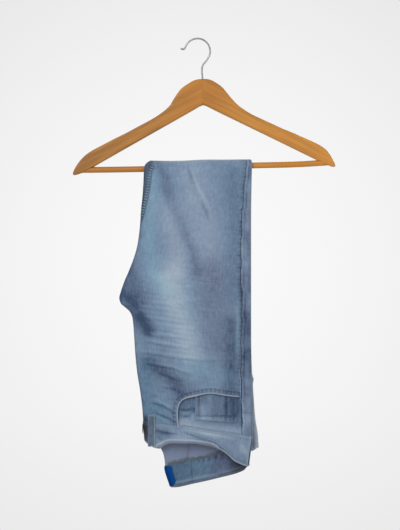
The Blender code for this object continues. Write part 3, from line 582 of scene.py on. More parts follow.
class Row:
    """One line of cloth across the legs: behind, over or in front of the bar."""

    def __init__(self, place, level=OVER_LEVEL, turn=0, hip=None, band=None, near=None):
        self.place = place
        self.level = level if near is None else mix(BAR_MIDDLE / MM, NEAR_LEVEL, near)
        self.turn = math.radians(turn)
        self.hip = hip
        self.band = band
        self.near = near

    def level_at(self, x, wrap):
        """Level at a place on the row; wrap is 0 on the front and 1 on the back."""
        if self.near is not None:
            return mix(bar_height(x) / MM, NEAR_LEVEL, self.near)
        if self.hip is not None:
            front = mix(HIP_LEVEL, front_seam(x / MM), self.hip)
            back = mix(HIP_LEVEL, back_seam(x / MM), self.hip)
            return mix(front, back, wrap)
        if self.band is not None:
            front = mix(front_seam(x / MM), front_edge(x / MM), self.band)
            back = mix(back_seam(x / MM), back_edge(x / MM), self.band)
            return mix(front, back, wrap)
        if self.place == "behind":
            near_hem = bell(self.level, LEG_HEM_LEVEL, 14)
            return self.level + HEM_CURL * near_hem * ease(x / MM, 92, 104)
        return self.level + 0 * x

    def side_level(self):
        if self.hip is not None:
            return mix(HIP_LEVEL, SIDE_SEAM_LEVEL, self.hip)
        if self.band is not None:
            return mix(SIDE_SEAM_LEVEL, SIDE_EDGE_LEVEL, self.band)
        return self.level

    def hipness(self):
        """0 on a leg and 1 on the hips, where the two legs are one tube."""
        if self.hip is not None or self.band is not None:
            return 1
        return float(ease(self.level, HIP_START, HIP_FULL)) if self.place == "front" else 0

    def left(self):
        if self.place == "behind":
            return leg_left_outline(self.level) * MM + WALL / 2
        drawn_in = CROWN_DRAW_LEFT * max(0, math.sin(self.turn)) ** 3
        return left_outline(self.level_at(-92 * MM, 0)) * MM + WALL / 2 + drawn_in

    def right(self, half):
        outline = leg_right_outline if self.place == "behind" else right_outline
        shift = 0
        if half == "left" and self.place == "front":
            shift = LEFT_HALF_SHIFT * np.clip((HIP_LEVEL - self.side_level()) / 60, 0, 1)
        drawn_in = CROWN_DRAW_RIGHT * max(0, math.sin(self.turn)) ** 3
        return outline(self.side_level()) * MM - WALL / 2 + shift - drawn_in

    def fold(self):
        """Place of the centre-back fold."""
        if self.hip is not None:
            level = mix(HIP_LEVEL, BACK_SEAM_LEVEL, self.hip)
        elif self.band is not None:
            level = mix(BACK_SEAM_LEVEL, BACK_EDGE_LEVEL, self.band)
        else:
            level = self.level
        return back_fold(level) * MM + WALL / 2

    def edge_gap(self):
        """Half the gap at an inseam, centre-front or centre-back edge."""
        if self.band is not None:
            return BAND_GAP / 2
        near = (self.level - CROTCH_LEVEL) / 8 if self.place == "front" else 9
        return SEAM_GAP / 2 + CROTCH_GAP * math.exp(-near * near)

    def inseam_turn(self):
        turn = leg_inseam_turn if self.place == "behind" else front_inseam_turn
        return turn(self.level) * MM

    def strip(self):
        """How far the side seam lies from the right edge."""
        level = self.side_level()
        return ((leg_strip if self.place == "behind" else front_strip)(level) + seam_wobble(level)) * MM

    def depth(self, layer, x, level):
        """Depth of a layer's middle surface."""
        table = leg_spacing if self.place == "behind" else front_spacing
        key = OVER_LEVEL if self.place == "over" else level
        left, right = self.left(), self.right("right")
        share = np.clip((x - left) / (right - left), 0, 1)
        values = [column(key) * MM for column in table]
        walls = across(share, *values[:3])
        between = across(share, *values[3:])
        depths = {"left front": INNER_DEPTH + 0 * walls}
        depths["left back"] = INNER_DEPTH + walls
        depths["right back"] = depths["left back"] + between
        depths["right front"] = depths["right back"] + walls
        depths["centre"] = depths["left back"] + between / 2
        if self.place == "over":
            crown = CROWN_RISE * math.sin(self.turn) * bell(x / MM, 8, 30)
            depths = {name: value + crown for name, value in depths.items()}
        if self.place == "front" and layer in ("left front", "right front"):
            depths[layer] = depths[layer] + waist_bow(layer.split()[0], share, x, level)
        if self.place == "front" and layer == "right front":
            depths[layer] = depths[layer] + fold_height(x, level) * np.minimum(1, share * 6)
        if self.place == "over" and layer == "right front":
            depths[layer] = depths[layer] + fold_height(x, -222) * max(0, math.cos(self.turn))
        return depths[layer]

    def put(self, x, depth, level):
        """World points for places, depths and levels on this row."""
        reach = BAR_RADIUS + depth
        if self.place == "over":
            y = -reach * math.cos(self.turn)
            z = bar_height(x) + reach * math.sin(self.turn)
        else:
            y = (-1 if self.place == "front" else 1) * reach
            z = level * MM + 0 * x
        return np.stack([x + 0 * reach, y, z], axis=-1)

    def left_middle(self, half):
        """Depth of the seam round which the left edge of a front panel turns."""
        x = self.left()
        level = self.level_at(x, 0)
        own = (self.depth(half + " front", x, level) + self.depth(half + " back", x, level)) / 2
        return mix(own, self.depth("centre", x, level), self.hipness())

    def right_middle(self, half):
        x = self.right(half)
        level = self.level_at(x, 0)
        return (self.depth(half + " front", x, level) + self.depth(half + " back", x, level)) / 2

    def relief(self, layer, x, level):
        """Height in metres of the finer creases of a layer, kept flat at the edges and over the bar."""
        left, right = self.left(), self.right("right")
        share = np.clip((x - left) / (right - left), 0, 1)
        window = np.minimum(ease(share, 0, 0.1), ease(1 - share, 0, 0.1))
        phase = {"right front": 0, "right back": 2, "left back": 4, "left front": 5}[layer]
        if self.place == "over":
            return 0 * x + 0 * level
        window = window * ease(OVER_LEVEL - level, 0, 45)
        if self.place == "behind":
            height = 0.5 * ripple(x / MM, level, phase + 1)
            if layer == "right front":
                height += creased(x / MM, level, LEG_CREASES)
        elif layer == "right front":
            height = 0.35 * ripple(x / MM, level, phase) + creased(x / MM, level, CREASES)
            height = height + 0.35 * whiskers(x / MM, level) + creased(x / MM, level, BAND_CREASES)
        else:
            height = 0.25 * ripple(x / MM, level, phase)
        height = height * window
        if layer.endswith("front"):
            side = (x - right + self.strip()) / MM
            inner = (x - left - self.inseam_turn()) / MM
            rim = ease((right - x) / MM, 0.5, 4)
            sunk = seam_depth(level)
            ridge = 0.45 * bell(side, 3.4, 1.6) - 0.35 * sunk * bell(side, 0, 1.9)
            ridge += 0.28 * pucker(0 * side, level) * np.exp(-np.abs(side) / 5)
            height += ridge * rim
            turned = ease(self.inseam_turn() / MM, 1, 5)
            rope = 0.3 * pucker(0 * inner + 30, level) - 0.5 * bell(inner, 0, 1.5)
            height += turned * rope * np.exp(-np.abs(inner) / 4)
        return height * MM


def round_end(row, x_end, inward, middle, layer, distance, wrap, outset=0):
    """Places on a rounded edge at distances from its outermost line: x, depth, level, weight."""
    distance = np.asarray(distance, dtype=float)
    face = row.depth(layer, x_end + inward * WALL, row.level_at(x_end, wrap))
    sign = np.where(face > middle, 1, -1)
    half = np.maximum(np.abs(face - middle), LEAST_ROUND) + outset
    run = END_ROUND * half
    quarter = math.pi / 4 * (run + half)
    angle = np.minimum(distance / quarter, 1) * math.pi / 2
    x = x_end - inward * outset + inward * (run * (1 - np.cos(angle)) + np.maximum(distance - quarter, 0))
    level = row.level_at(x, wrap)
    face = row.depth(layer, x, level) + sign * outset
    return x, middle + (face - middle) * np.sin(angle), level, np.sin(angle)


def quarter_length(row, x_end, inward, middle, layer):
    face = row.depth(layer, x_end + inward * WALL, row.level_at(x_end, 0))
    half = max(abs(float(face - middle)), LEAST_ROUND)
    return math.pi / 4 * (END_ROUND * half + half)


def flat_part(row, layer, xs, wrap, outset=0):
    level = row.level_at(xs, wrap)
    return xs, row.depth(layer, xs, level) + outset, level, np.ones(len(xs))


def joined(parts):
    return [np.concatenate([np.atleast_1d(part[i]) for part in parts]) for i in range(4)]


def front_line(row, half, columns, edge_columns):
    """A front panel's row, from the inseam or centre front to the side seam."""
    layer = half + " front"
    left, right = row.left(), row.right(half)
    middle = row.left_middle(half)
    start = row.edge_gap() + row.inseam_turn() * (1 - row.hipness())
    quarter = max(quarter_length(row, left, 1, middle, layer), start + 3 * MM)
    turn = round_end(row, left, 1, middle, layer, np.linspace(start, quarter, edge_columns), 0)
    last = right - row.strip() - SEAM_GAP / 2
    near = last - NEAR_SEAM
    xs = np.linspace(turn[0][-1], near, columns + 1)[1:]
    xs = np.concatenate([xs, np.linspace(near, last, 9)[1:-1], [last - SHARP_EDGE, last]])
    x, depth, level, weight = joined([turn, flat_part(row, layer, xs, 0)])
    return x, depth + row.relief(layer, x, level) * weight, level


def side_turn(row, half, quarter, steps, to_front, outset=0):
    """Places round the right edge, from the back layer to the front one."""
    right = row.right(half)
    middle = row.right_middle(half)
    parts = []
    for share in np.linspace(-1, 1, steps):
        layer = half + (" back" if share <= 0 else " front")
        wrap = 0.5 - 0.5 * math.sin(share * math.pi / 2)
        raised = outset * (share + 1) / 2
        parts.append(round_end(row, right, -1, middle, layer, [abs(share) * quarter], wrap, raised))
    if len(to_front):
        parts.append(round_end(row, right, -1, middle, half + " front", to_front, 0, outset))
    return joined(parts)


def back_edge_part(row, half, edge_columns):
    """A back panel's first places, at the inseam or the centre-back fold."""
    layer = half + " back"
    hips = row.hipness()
    left = mix(row.left(), row.fold(), hips)
    level = row.level_at(left, 1)
    centre = row.depth("centre", left, level)
    own = (row.depth(half + " front", left, level) + row.depth(layer, left, level)) / 2
    middle = mix(own, centre, hips)
    quarter = quarter_length(row, left, 1, middle, layer)
    start = row.edge_gap() - row.inseam_turn() * (1 - hips) - (SEAM_GAP if row.inseam_turn() > MM else 0)
    stops = np.linspace(start, max(quarter, start) + 4 * MM, edge_columns)
    parts = []
    for chosen, face in ((stops < 0, half + " front"), (stops >= 0, layer)):
        if chosen.any():
            x, depth, level, weight = round_end(row, left, 1, middle, face, np.abs(stops[chosen]), 1)
            parts.append((x, depth + row.relief(face, x, level) * weight, level, weight))
    return joined(parts)


def back_line(row, half, columns, edge_columns):
    """A back panel's row, from the left fold round the right edge to the side seam."""
    layer = half + " back"
    right = row.right(half)
    quarter = quarter_length(row, right, -1, row.right_middle(half), layer)
    end = row.strip() - SEAM_GAP / 2
    start = back_edge_part(row, half, edge_columns)
    to_front = np.concatenate([np.linspace(quarter, end, 12)[1:-1], [end - SHARP_EDGE, end]])
    wrap = side_turn(row, half, quarter, 9, to_front)
    past_middle = wrap[1] - row.right_middle(half)
    in_front = (past_middle > 0) if half == "right" else (past_middle < 0)
    lift = row.relief(half + " front", wrap[0], wrap[2]) * wrap[3] * in_front
    wrap[1] = wrap[1] + lift
    xs = np.linspace(start[0][-1], wrap[0][0], columns + 1)[1:-1]
    x, depth, level, weight = flat_part(row, layer, xs, 1)
    depth += row.relief(layer, x, level)
    return [np.concatenate(trio) for trio in zip(start[:3], (x, depth, level), wrap[:3])]


def band_line(row, half, front_columns, back_columns):
    """A waistband's row, from the centre front round the right edge to the centre back."""
    left, right = row.left(), row.right(half)
    middle = row.left_middle(half)
    layer = half + " front"
    quarter = quarter_length(row, left, 1, middle, layer)
    gap = row.edge_gap()
    first = round_end(row, left, 1, middle, layer, np.linspace(gap, quarter, 6), 0, BAND_RAISE)
    side_quarter = quarter_length(row, right, -1, row.right_middle(half), half + " back")
    wrap = side_turn(row, half, side_quarter, 9, (), BAND_RAISE)
    wrap = [values[::-1] for values in wrap]
    xs = np.linspace(first[0][-1], wrap[0][0], front_columns + 1)[1:-1]
    outset = BAND_RAISE if half == "right" else -BAND_RAISE
    x, depth, level, weight = joined([first, flat_part(row, layer, xs, 0, outset)])
    depth += row.relief(layer, x, level) * weight
    fold = row.fold()
    middle = row.depth("centre", fold, row.level_at(fold, 1))
    quarter = quarter_length(row, fold, 1, middle, half + " back")
    last = round_end(row, fold, 1, middle, half + " back", np.linspace(quarter, gap, 6), 1)
    xs = np.linspace(wrap[0][-1], last[0][0], back_columns + 1)[1:-1]
    rest = joined([wrap, flat_part(row, half + " back", xs, 1), last])
    return [np.concatenate(pair) for pair in zip((x, depth, level), rest[:3])]


def laid(rows, line):
    """Grid of world points and grid of x, level and drop for a sheet's rows."""
    points, places = [], []
    for row in rows:
        x, depth, level = line(row)
        points.append(row.put(x, depth, level))
        place = {"front": 1, "over": math.cos(row.turn), "behind": -1}[row.place]
        places.append(np.stack([x / MM, level + 0 * x, np.full(x.shape, place)], axis=-1))
    return np.array(points), np.array(places)


def leg_rows(step):
    """Rows from the leg's hem up behind, over the bar and down to the hips."""
    near = np.linspace(0, 1, int(NEAR_LENGTH / step) + 2)[1:]
    behind = np.arange(LEG_HEM_LEVEL, NEAR_LEVEL - step / 2, step)
    rows = [Row("behind", float(level)) for level in behind]
    rows += [Row("behind", near=float(share)) for share in near[::-1]]
    rows += [Row("over", turn=float(turn)) for turn in np.linspace(180, 0, int(TURN_LENGTH / step) + 1)]
    rows += [Row("front", near=float(share)) for share in near]
    front = np.arange(NEAR_LEVEL - step, HIP_LEVEL + step / 2, -step)
    return rows + [Row("front", float(level)) for level in front]


def hip_rows(start, end, step):
    count = int(HIP_LENGTH * abs(end - start) / step) + 2
    return [Row("front", hip=float(share)) for share in np.linspace(start, end, count)]


def on_drop(layer, x, level, offset):
    """World points on a layer of the front drop, at x and level in millimetres, moved out."""
    level = np.asarray(level, dtype=float)
    row = Row("front", level)
    x = np.asarray(x, dtype=float) * MM
    depth = row.depth(layer, x, level) + row.relief(layer, x, level)
    return row.put(x, depth + offset, level)


def outer_face(row, distance, offset):
    """World point and normal on the outermost layer of any row, at a distance from the left edge."""
    middle = row.left_middle("right")
    x, depth, level, weight = round_end(row, row.left(), 1, middle, "right front", [distance], 0)
    depth += row.relief("right front", x, level) * weight
    low, high = row.put(x, depth, level)[0], row.put(x, depth + MM, level)[0]
    return low + (high - low) / MM * offset, (high - low) / np.linalg.norm(high - low)


def outward(layer, x, level, offset):
    """Unit normals of a layer of the front drop, pointing out from the bar."""
    x, level = np.asarray(x, dtype=float), np.asarray(level, dtype=float)
    right = on_drop(layer, x + 0.7, level, offset) - on_drop(layer, x - 0.7, level, offset)
    down = on_drop(layer, x, level - 0.7, offset) - on_drop(layer, x, level + 0.7, offset)
    normal = np.cross(down, right)
    return normal / np.linalg.norm(normal, axis=-1, keepdims=True)


def resampled(path, pitch):
    """Evenly spaced places along a line of points."""
    path = np.asarray(path, dtype=float)
    steps = np.linalg.norm(np.diff(path[:, :3], axis=0), axis=1)
    run = np.concatenate([[0], np.cumsum(steps)])
    count = max(2, int(round(run[-1] / pitch)) + 1)
    stops = np.linspace(0, run[-1], count)
    return np.stack([np.interp(stops, run, path[:, i]) for i in range(path.shape[1])], axis=-1)


def curve_points(rows, step):
    """Evenly spaced points on a smooth line through rows of x and level."""
    path = np.array(rows, dtype=float)
    for _ in range(3):
        cut = [path[0]]
        for a, b in zip(path, path[1:]):
            cut += [mix(a, b, 0.25), mix(a, b, 0.75)]
        path = np.array(cut + [path[-1]])
    return resampled(path, step)


def side_of(path, distance):
    """The line moved sideways, to the right of its direction."""
    path = np.asarray(path, dtype=float)
    way = np.gradient(path, axis=0)
    way /= np.linalg.norm(way, axis=1, keepdims=True)
    return path + np.stack([way[:, 1], -way[:, 0]], axis=-1) * distance


def wash_and_shade_of(places, layer):
    """Lightness, teal and wear of each place on a layer; the lightness holds wash fades together with
    painted shade and painted light.
    """
    x, level, place = places[..., 0], places[..., 1], places[..., 2]
    light = 0.41 + 0.02 * ripple(x, level, 1.3)
    teal = 0.45 + 0.06 * ripple(x / 2, level / 2, 0.4)
    wear = np.zeros(x.shape)
    front = ease(place, -0.2, 0.6)
    left = np.where(place > 0, left_outline(level), leg_left_outline(level))
    right = np.where(place > 0, right_outline(level), leg_right_outline(level))
    strip = np.where(place > 0, front_strip(level), leg_strip(level)) + seam_wobble(level)
    if layer == "right front":
        for half_width, lightness, tint, path in FADES_AND_FOLD_SHADES + WHISKERS_AND_CREASE_SHADES:
            away, along = beside(x, level, path)
            taper = np.sin(math.pi * np.clip(along, 0.02, 0.98)) ** 0.5 if half_width < 4 else 1
            near = bell(away, 0, half_width) * taper * front
            light += lightness * near
            teal += tint * near
        light += 0.075 * whiskers(x, level) * front
        wear = 0.34 * bell(place, 0.42, 0.25) * ease(75 - np.abs(x), 0, 30)
        middle = bell(x, 14, 40) * ease(-level, 215, 330) * (1 - front)
        light = light + 0.24 * middle - 0.04 * (1 - front)
        teal -= 0.15 * middle
    if layer.endswith("front"):
        side = x - right + strip
        sunk = seam_depth(level)
        low = ease(-level, 548, 575) * front
        light -= (0.3 - 0.14 * low) * sunk * bell(side, -0.7, 1.9)
        light += 0.26 * low * bell(side, -1.7, 0.8)
        light -= 0.14 * sunk * bell(side, -4, 3)
        light += 0.12 * pucker(0 * x, level) * np.exp(-np.abs(side + 0.8) / 3)
        light += 0.2 * (1.3 - sunk) * bell(side, 2.4, 1)
        light = light - 0.1 * bell(side, 5.2, 1) + 0.04 * ease(side, 2, 6)
        light += 0.13 * ease(side, 1, 4) * ripple(x * 2.5, level * 2.2, 0.6)
        light += strip_shade(level) * ease(side, 0.5, 2.5) * front
        teal -= 0.25 * ease(side, 1, 4)
        turn = np.where(place > 0, front_inseam_turn(level), leg_inseam_turn(level))
        inner = x - left - turn
        rope = ease(turn, 1, 5)
        # Darker at the turned inseam, with painted shade on the cloth rolling away round the left edge past
        # it
        light -= 0.22 * rope * bell(inner, -2.6, 2.8)
        light = light - 0.2 * rope * ease(-inner, 3, 6) - 0.14 * rope * bell(inner, 0, 1.3)
        hem = level - LEG_HEM_LEVEL
        behind = place < 0
        # Painted light on the leg behind, lifting its right edge out of the shade of the front drop
        rim = behind * bell(x, right, 9)
        light += 0.54 * rim
        light += behind * (0.1 * bell(hem, 1, 1.5) - 0.14 * bell(hem, 12, 1.6))
    # Painted shade along the left edge, where the cloth turns away
    light -= 0.24 * bell(x, left, 3)
    return light, teal, wear


def linear(colour):
    """Linear red, green and blue of a colour given as 0 to 255."""
    values = [channel / 255 for channel in colour]
    return tuple(v / 12.92 if v <= 0.04045 else ((v + 0.055) / 1.055) ** 2.4 for v in values)


class Tone:
    """A value or colour in a material, on which Python's operators add nodes."""

    def __init__(self, look, socket):
        self.look = look
        self.socket = socket

    def math(self, operation, *values, clamp=False):
        return self.look.math(operation, *values, clamp=clamp)

    def __add__(self, other):
        return self.math("ADD", self, other)

    def __radd__(self, other):
        return self.math("ADD", other, self)

    def __sub__(self, other):
        return self.math("SUBTRACT", self, other)

    def __rsub__(self, other):
        return self.math("SUBTRACT", other, self)

    def __mul__(self, other):
        return self.math("MULTIPLY", self, other)

    def __rmul__(self, other):
        return self.math("MULTIPLY", other, self)

    def __truediv__(self, other):
        return self.math("DIVIDE", self, other)

    def __rtruediv__(self, other):
        return self.math("DIVIDE", other, self)

    def __pow__(self, other):
        return self.math("POWER", self, other)

    def kept(self):
        """The value held between 0 and 1."""
        return self.math("ADD", self, 0, clamp=True)


class Look:
    """A material in the making."""

    def __init__(self, name, **sockets):
        self.material = bpy.data.materials.new(name)
        self.material.use_nodes = True
        self.nodes = self.material.node_tree.nodes
        self.links = self.material.node_tree.links
        self.shader = self.nodes["Principled BSDF"]
        for socket, value in sockets.items():
            self.shader.inputs[socket.replace("_", " ")].default_value = value

    def node(self, kind, settings, values, output=0):
        """Adds a node: its type, its settings, and the values or links of its sockets."""
        made = self.nodes.new(kind)
        for name, value in settings.items():
            if name == "stops":
                ramp = made.color_ramp
                while len(ramp.elements) < len(value):
                    ramp.elements.new(0.5)
                for element, (place, colour) in zip(ramp.elements, value):
                    element.position = place
                    element.color = (*colour, 1)
            else:
                setattr(made, name, value)
        for name, value in values.items():
            self.join(made.inputs[name], value)
        return Tone(self, made.outputs[output])

    def math(self, operation, *values, clamp=False):
        settings = {"operation": operation, "use_clamp": clamp}
        return self.node("ShaderNodeMath", settings, {i: v for i, v in enumerate(values)})

    def join(self, socket, value):
        if isinstance(value, Tone):
            self.links.new(value.socket, socket)
        else:
            socket.default_value = value

    def place(self):
        return self.node("ShaderNodeTexCoord", {}, {}, "Object")

    def cloth_place(self):
        return self.node("ShaderNodeUVMap", {"uv_map": "UVMap"}, {})

    def parts(self, vector):
        split = self.node("ShaderNodeSeparateXYZ", {}, {"Vector": vector}).socket.node
        return [Tone(self, split.outputs[i]) for i in range(3)]

    def scaled(self, vector, scale, turn=0):
        settings = {"vector_type": "POINT"}
        values = {"Vector": vector, "Scale": scale, "Rotation": (0, 0, turn)}
        return self.node("ShaderNodeMapping", settings, values)

    def noise(self, vector, scale, detail=2, roughness=0.5):
        """Noise with a scale for each direction, or one for all."""
        scale = scale if isinstance(scale, tuple) else (scale,) * 3
        values = {"Vector": self.scaled(vector, scale), "Scale": 1, "Detail": detail}
        values["Roughness"] = roughness
        return self.node("ShaderNodeTexNoise", {}, values, "Fac")

    def blend(self, share, first, second):
        """A colour between two others."""
        made = self.nodes.new("ShaderNodeMix")
        made.data_type = "RGBA"
        self.join(made.inputs[0], share)
        for index, value in ((6, first), (7, second)):
            if not isinstance(value, Tone) and len(value) == 3:
                value = (*value, 1)
            self.join(made.inputs[index], value)
        return Tone(self, made.outputs[2])

    def bump(self, height, distance, strength):
        values = {"Height": height, "Distance": distance, "Strength": strength}
        return self.node("ShaderNodeBump", {}, values)

    def finish(self, colour=None, roughness=None, normal=None):
        for socket, value in (("Base Color", colour), ("Roughness", roughness), ("Normal", normal)):
            if value is not None:
                self.join(self.shader.inputs[socket], value)
        return self.material


def denim_look(name, light_shift=0, greyness=0):
    """Twill cloth, faded by the piece's colour attribute, which also holds painted shade and painted light,
    and in its alpha painted shade and dark seam lines; the inside is paler and greyer.
    """
    cloth = bpy.context.scene.jeans_cloth
    look = Look(name, Roughness=0.9, Sheen_Weight=0.22, Sheen_Roughness=0.5, Specular_IOR_Level=0.2)
    wash = look.node("ShaderNodeAttribute", {"attribute_name": "wash"}, {}, "Color")
    split = look.nodes.new("ShaderNodeSeparateColor")
    look.join(split.inputs[0], wash)
    light, teal, wear = (Tone(look, split.outputs[i]) for i in range(3))
    uv = look.cloth_place()
    slub = look.noise(uv, (420, 60, 1), 3, 0.6)
    weft = look.noise(uv, (90, 620, 1), 2, 0.6)
    cloud = look.noise(uv, (60, 60, 1), 3, 0.55)
    speckle = look.noise(uv, (900, 900, 1), 1, 0.5)
    twill = look.node(
        "ShaderNodeTexWave",
        {"wave_type": "BANDS", "bands_direction": "X", "wave_profile": "SIN"},
        {"Vector": look.scaled(uv, (1, 1, 1), math.radians(60)), "Scale": 220,
         "Distortion": 0.6, "Detail": 1, "Detail Scale": 2},
        "Fac",
    )
    fleck = look.noise(uv, (190, 150, 1), 2, 0.6)
    shade = light + light_shift + (slub - 0.5) * 0.34 + (weft - 0.5) * 0.18 + (cloud - 0.5) * 0.2
    shade += (fleck - 0.5) * 0.22
    shade = (shade + (speckle - 0.5) * 0.16 + (twill - 0.5) * 0.05).kept()
    hue = (teal + (cloud - 0.5) * 0.5).kept()
    deep = look.blend(hue, linear(cloth.deep_purple), linear(cloth.deep_teal))
    middle = look.blend(hue, linear(cloth.middle_purple), linear(cloth.middle_teal))
    faded = look.blend(hue, linear(cloth.faded_purple), linear(cloth.faded_teal))
    colour = look.blend((shade * 2).kept(), deep, middle)
    colour = look.blend((shade * 2 - 1).kept(), colour, faded)
    colour = look.blend(greyness, colour, linear(cloth.inside_colour))
    colour = look.blend((wear + (speckle - 0.5) * wear).kept(), colour, linear(cloth.worn_edge))
    # The alpha darkens the denim towards the shade colour: painted shade, and dark seam lines
    colour = look.blend(Tone(look, wash.socket.node.outputs["Alpha"]), linear(SHADE_AND_SEAM_COLOUR), colour)
    height = twill * 0.5 + slub * 0.3 + speckle * 0.4
    normal = look.bump(height, 0.0004, 0.5)
    return look.finish(colour, 0.88 + (slub - 0.5) * 0.1, normal)


def thread_look(name, colour):
    """Twisted sewing thread."""
    look = Look(name, Roughness=0.7, Sheen_Weight=0.2, Specular_IOR_Level=0.3)
    place = look.place()
    twist = look.noise(place, 900, 2)
    tone = look.noise(place, 45, 2)
    dark = [channel * 0.55 for channel in linear(colour)]
    mixed = look.blend((tone * 0.9 + twist * 0.4 - 0.1).kept(), dark, linear(colour))
    return look.finish(mixed, 0.65 + twist * 0.2, look.bump(twist, 0.0002, 0.4))


def wood_look(name, colour, darkest, slope):
    """Stained beech: grain and fine pores along arms of this slope, under thin varnish."""
    look = Look(name, Coat_Weight=0.12, Coat_Roughness=0.3, Specular_IOR_Level=0.3)
    x, y, z = look.parts(look.place())
    side = x - HEAD_TOP.x
    out = look.math("ABSOLUTE", side)
    along = out * math.cos(slope) - z * math.sin(slope) + look.math("SIGN", side) * 3
    over = out * math.sin(slope) + z * math.cos(slope)
    grown = look.node("ShaderNodeCombineXYZ", {}, {"X": along, "Y": y, "Z": over})
    bent = look.noise(grown, 9, 2)
    grain = look.noise(grown, (9, 130, 150), 4, 0.6)
    pores = look.noise(grown, (60, 900, 900), 2, 0.6)
    # The side term paints shade and light: darker to the left of the head, lighter to the right
    fill = (grain * 1.5 - 0.35 + (bent - 0.5) * 0.8 + side * 1.8).kept()
    base = look.blend(fill, linear(darkest), linear(colour))
    base = look.blend((1 - out * 12).kept() * 0.55, base, linear(NECK_COLOUR))
    spots = ((pores - 0.62) * 7).kept()
    base = look.blend(spots * 0.25, base, [channel * 0.4 for channel in linear(darkest)])
    rough = 0.45 + (grain - 0.5) * 0.2
    return look.finish(base, rough, look.bump(grain + pores * 0.5, 0.0003, 0.3))


def wire_look(name):
    look = Look(name, Metallic=1)
    place = look.place()
    cloud = look.noise(place, 60, 2)
    colour = look.blend(cloud, linear(WIRE_DARK), linear(WIRE_PALE))
    return look.finish(colour, 0.24 + cloud * 0.1)


def dark_metal_look(name, colour):
    look = Look(name, Metallic=0.6)
    place = look.place()
    worn = look.noise(place, 260, 3)
    mixed = look.blend(worn, linear(colour), [min(1, channel * 3.2) for channel in linear(colour)])
    return look.finish(mixed, 0.45 + worn * 0.3, look.bump(worn, 0.0002, 0.3))


def label_look(name):
    """Plain blue tape with a close rib, with painted shade that makes it darkest towards its fold."""
    cloth = bpy.context.scene.jeans_cloth
    look = Look(name, Roughness=0.9, Specular_IOR_Level=0)
    uv = look.cloth_place()
    cloud = look.noise(uv, (120, 120, 1), 3)
    rib = look.node(
        "ShaderNodeTexWave", {"wave_type": "BANDS", "bands_direction": "Y"},
        {"Vector": uv, "Scale": 180, "Distortion": 0.3}, "Fac",
    )
    base = linear(cloth.label_colour)
    fold_shade = look.parts(uv)[0] * 70
    fill = (cloud * 0.5 + rib * 0.1 - 0.1 + fold_shade).kept()
    mixed = look.blend(fill, [c * 0.4 for c in base], [min(1, c * 1.7) for c in base])
    return look.finish(mixed, 0.5 + cloud * 0.25, look.bump(rib + cloud, 0.0003, 0.4))


def look_named(name):
    """The material of this name, made the first time it is asked for."""
    cloth = bpy.context.scene.jeans_cloth
    hanger = bpy.context.scene.jeans_hanger
    makers = {
        "denim_right_side": lambda: denim_look("denim_right_side"),
        "denim_wrong_side": lambda: denim_look("denim_wrong_side", 0.02, 0.55),
        "thread": lambda: thread_look("thread", cloth.thread_colour),
        "overlock_thread": lambda: thread_look("overlock_thread", cloth.overlock_colour),
        "inseam_thread": lambda: thread_look("inseam_thread", cloth.inseam_colour),
        "arm_wood": lambda: wood_look("arm_wood", hanger.arm_colour, hanger.grain_colour, math.radians(27)),
        "bar_wood": lambda: wood_look("bar_wood", hanger.bar_colour, BAR_GRAIN, 0),
        "bright_wire": lambda: wire_look("bright_wire"),
        "dark_button": lambda: dark_metal_look("dark_button", cloth.button_colour),
        "zip_metal": lambda: dark_metal_look("zip_metal", ZIP_COLOUR),
        "blue_label": lambda: label_look("blue_label"),
    }
    return bpy.data.materials.get(name) or makers[name]()


def mesh_of(made, name, smooth_below=99):
    """The mesh of a bmesh, smooth on faces with fewer corners than given."""
    for face in made.faces:
        face.smooth = len(face.verts) < smooth_below
    mesh = bpy.data.meshes.new(name)
    made.to_mesh(mesh)
    made.free()
    return mesh


def spun(made, section, axis, steps):
    """Turns a section once round an axis through the origin."""
    bmesh.ops.spin(
        made, geom=section, cent=(0, 0, 0), axis=axis, angle=math.tau, steps=steps, use_merge=True)


def finished(mesh, name, looks, replaced=()):
    """Links a mesh as a piece that rides with the hanger."""
    piece = bpy.data.objects.new(name, mesh)
    for look in looks:
        mesh.materials.append(look_named(look))
    bpy.context.scene.collection.objects.link(piece)
    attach(piece, "root")
    if replaced:
        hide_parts(*replaced)
    return piece


def sheet_mesh(name, points, wash, dropped=None, dimmed=None):
    """Mesh of a grid of world points, with its cloth coordinates and its wash with painted shade."""
    rows, columns = points.shape[:2]
    steps = np.linalg.norm(np.diff(points, axis=1), axis=2)
    over = np.concatenate([np.zeros((rows, 1)), np.cumsum(steps, axis=1)], axis=1)
    over -= over[:, columns // 2:columns // 2 + 1]
    steps = np.linalg.norm(np.diff(points, axis=0), axis=2)
    down = np.concatenate([np.zeros((1, columns)), np.cumsum(steps, axis=0)], axis=0)
    sheet = bmesh.new()
    uv = sheet.loops.layers.uv.new("UVMap")
    bmesh.ops.create_grid(sheet, x_segments=columns - 1, y_segments=rows - 1, size=0.5)
    for vert, point in zip(sheet.verts, points.reshape(-1, 3)):
        vert.co = point
    u, v = over.ravel(), down.ravel()
    for face in sheet.faces:
        for loop in face.loops:
            index = loop.vert.index
            loop[uv].uv = (u[index], v[index])
    bmesh.ops.reverse_faces(sheet, faces=sheet.faces)
    bright = np.ones(rows * columns)
    if dimmed is not None:
        bright = 1 - np.clip(dimmed, 0, 1).ravel()
    colours = np.stack([np.clip(w, 0, 1).ravel() for w in wash] + [bright], axis=-1)
    layer = sheet.verts.layers.float_color.new("wash")
    for vert, colour in zip(sheet.verts, colours):
        vert[layer] = colour
    if dropped is not None:
        corners = {face: [loop.vert.index for loop in face.loops] for face in sheet.faces}
        gone = [face for face, at in corners.items() if dropped[at[0]] and dropped[at[2]]]
        bmesh.ops.delete(sheet, geom=gone, context="FACES")
    return mesh_of(sheet, name)


def with_wall(piece, wall):
    thickness = piece.modifiers.new("Wall", "SOLIDIFY")
    thickness.thickness = wall
    thickness.offset = 0
    thickness.use_even_offset = True
    thickness.material_offset = 1
    return piece


def on_front(x, level):
    """Places on the front drop: x, level and drop."""
    return np.stack([x, level, np.ones(x.shape)], axis=-1)


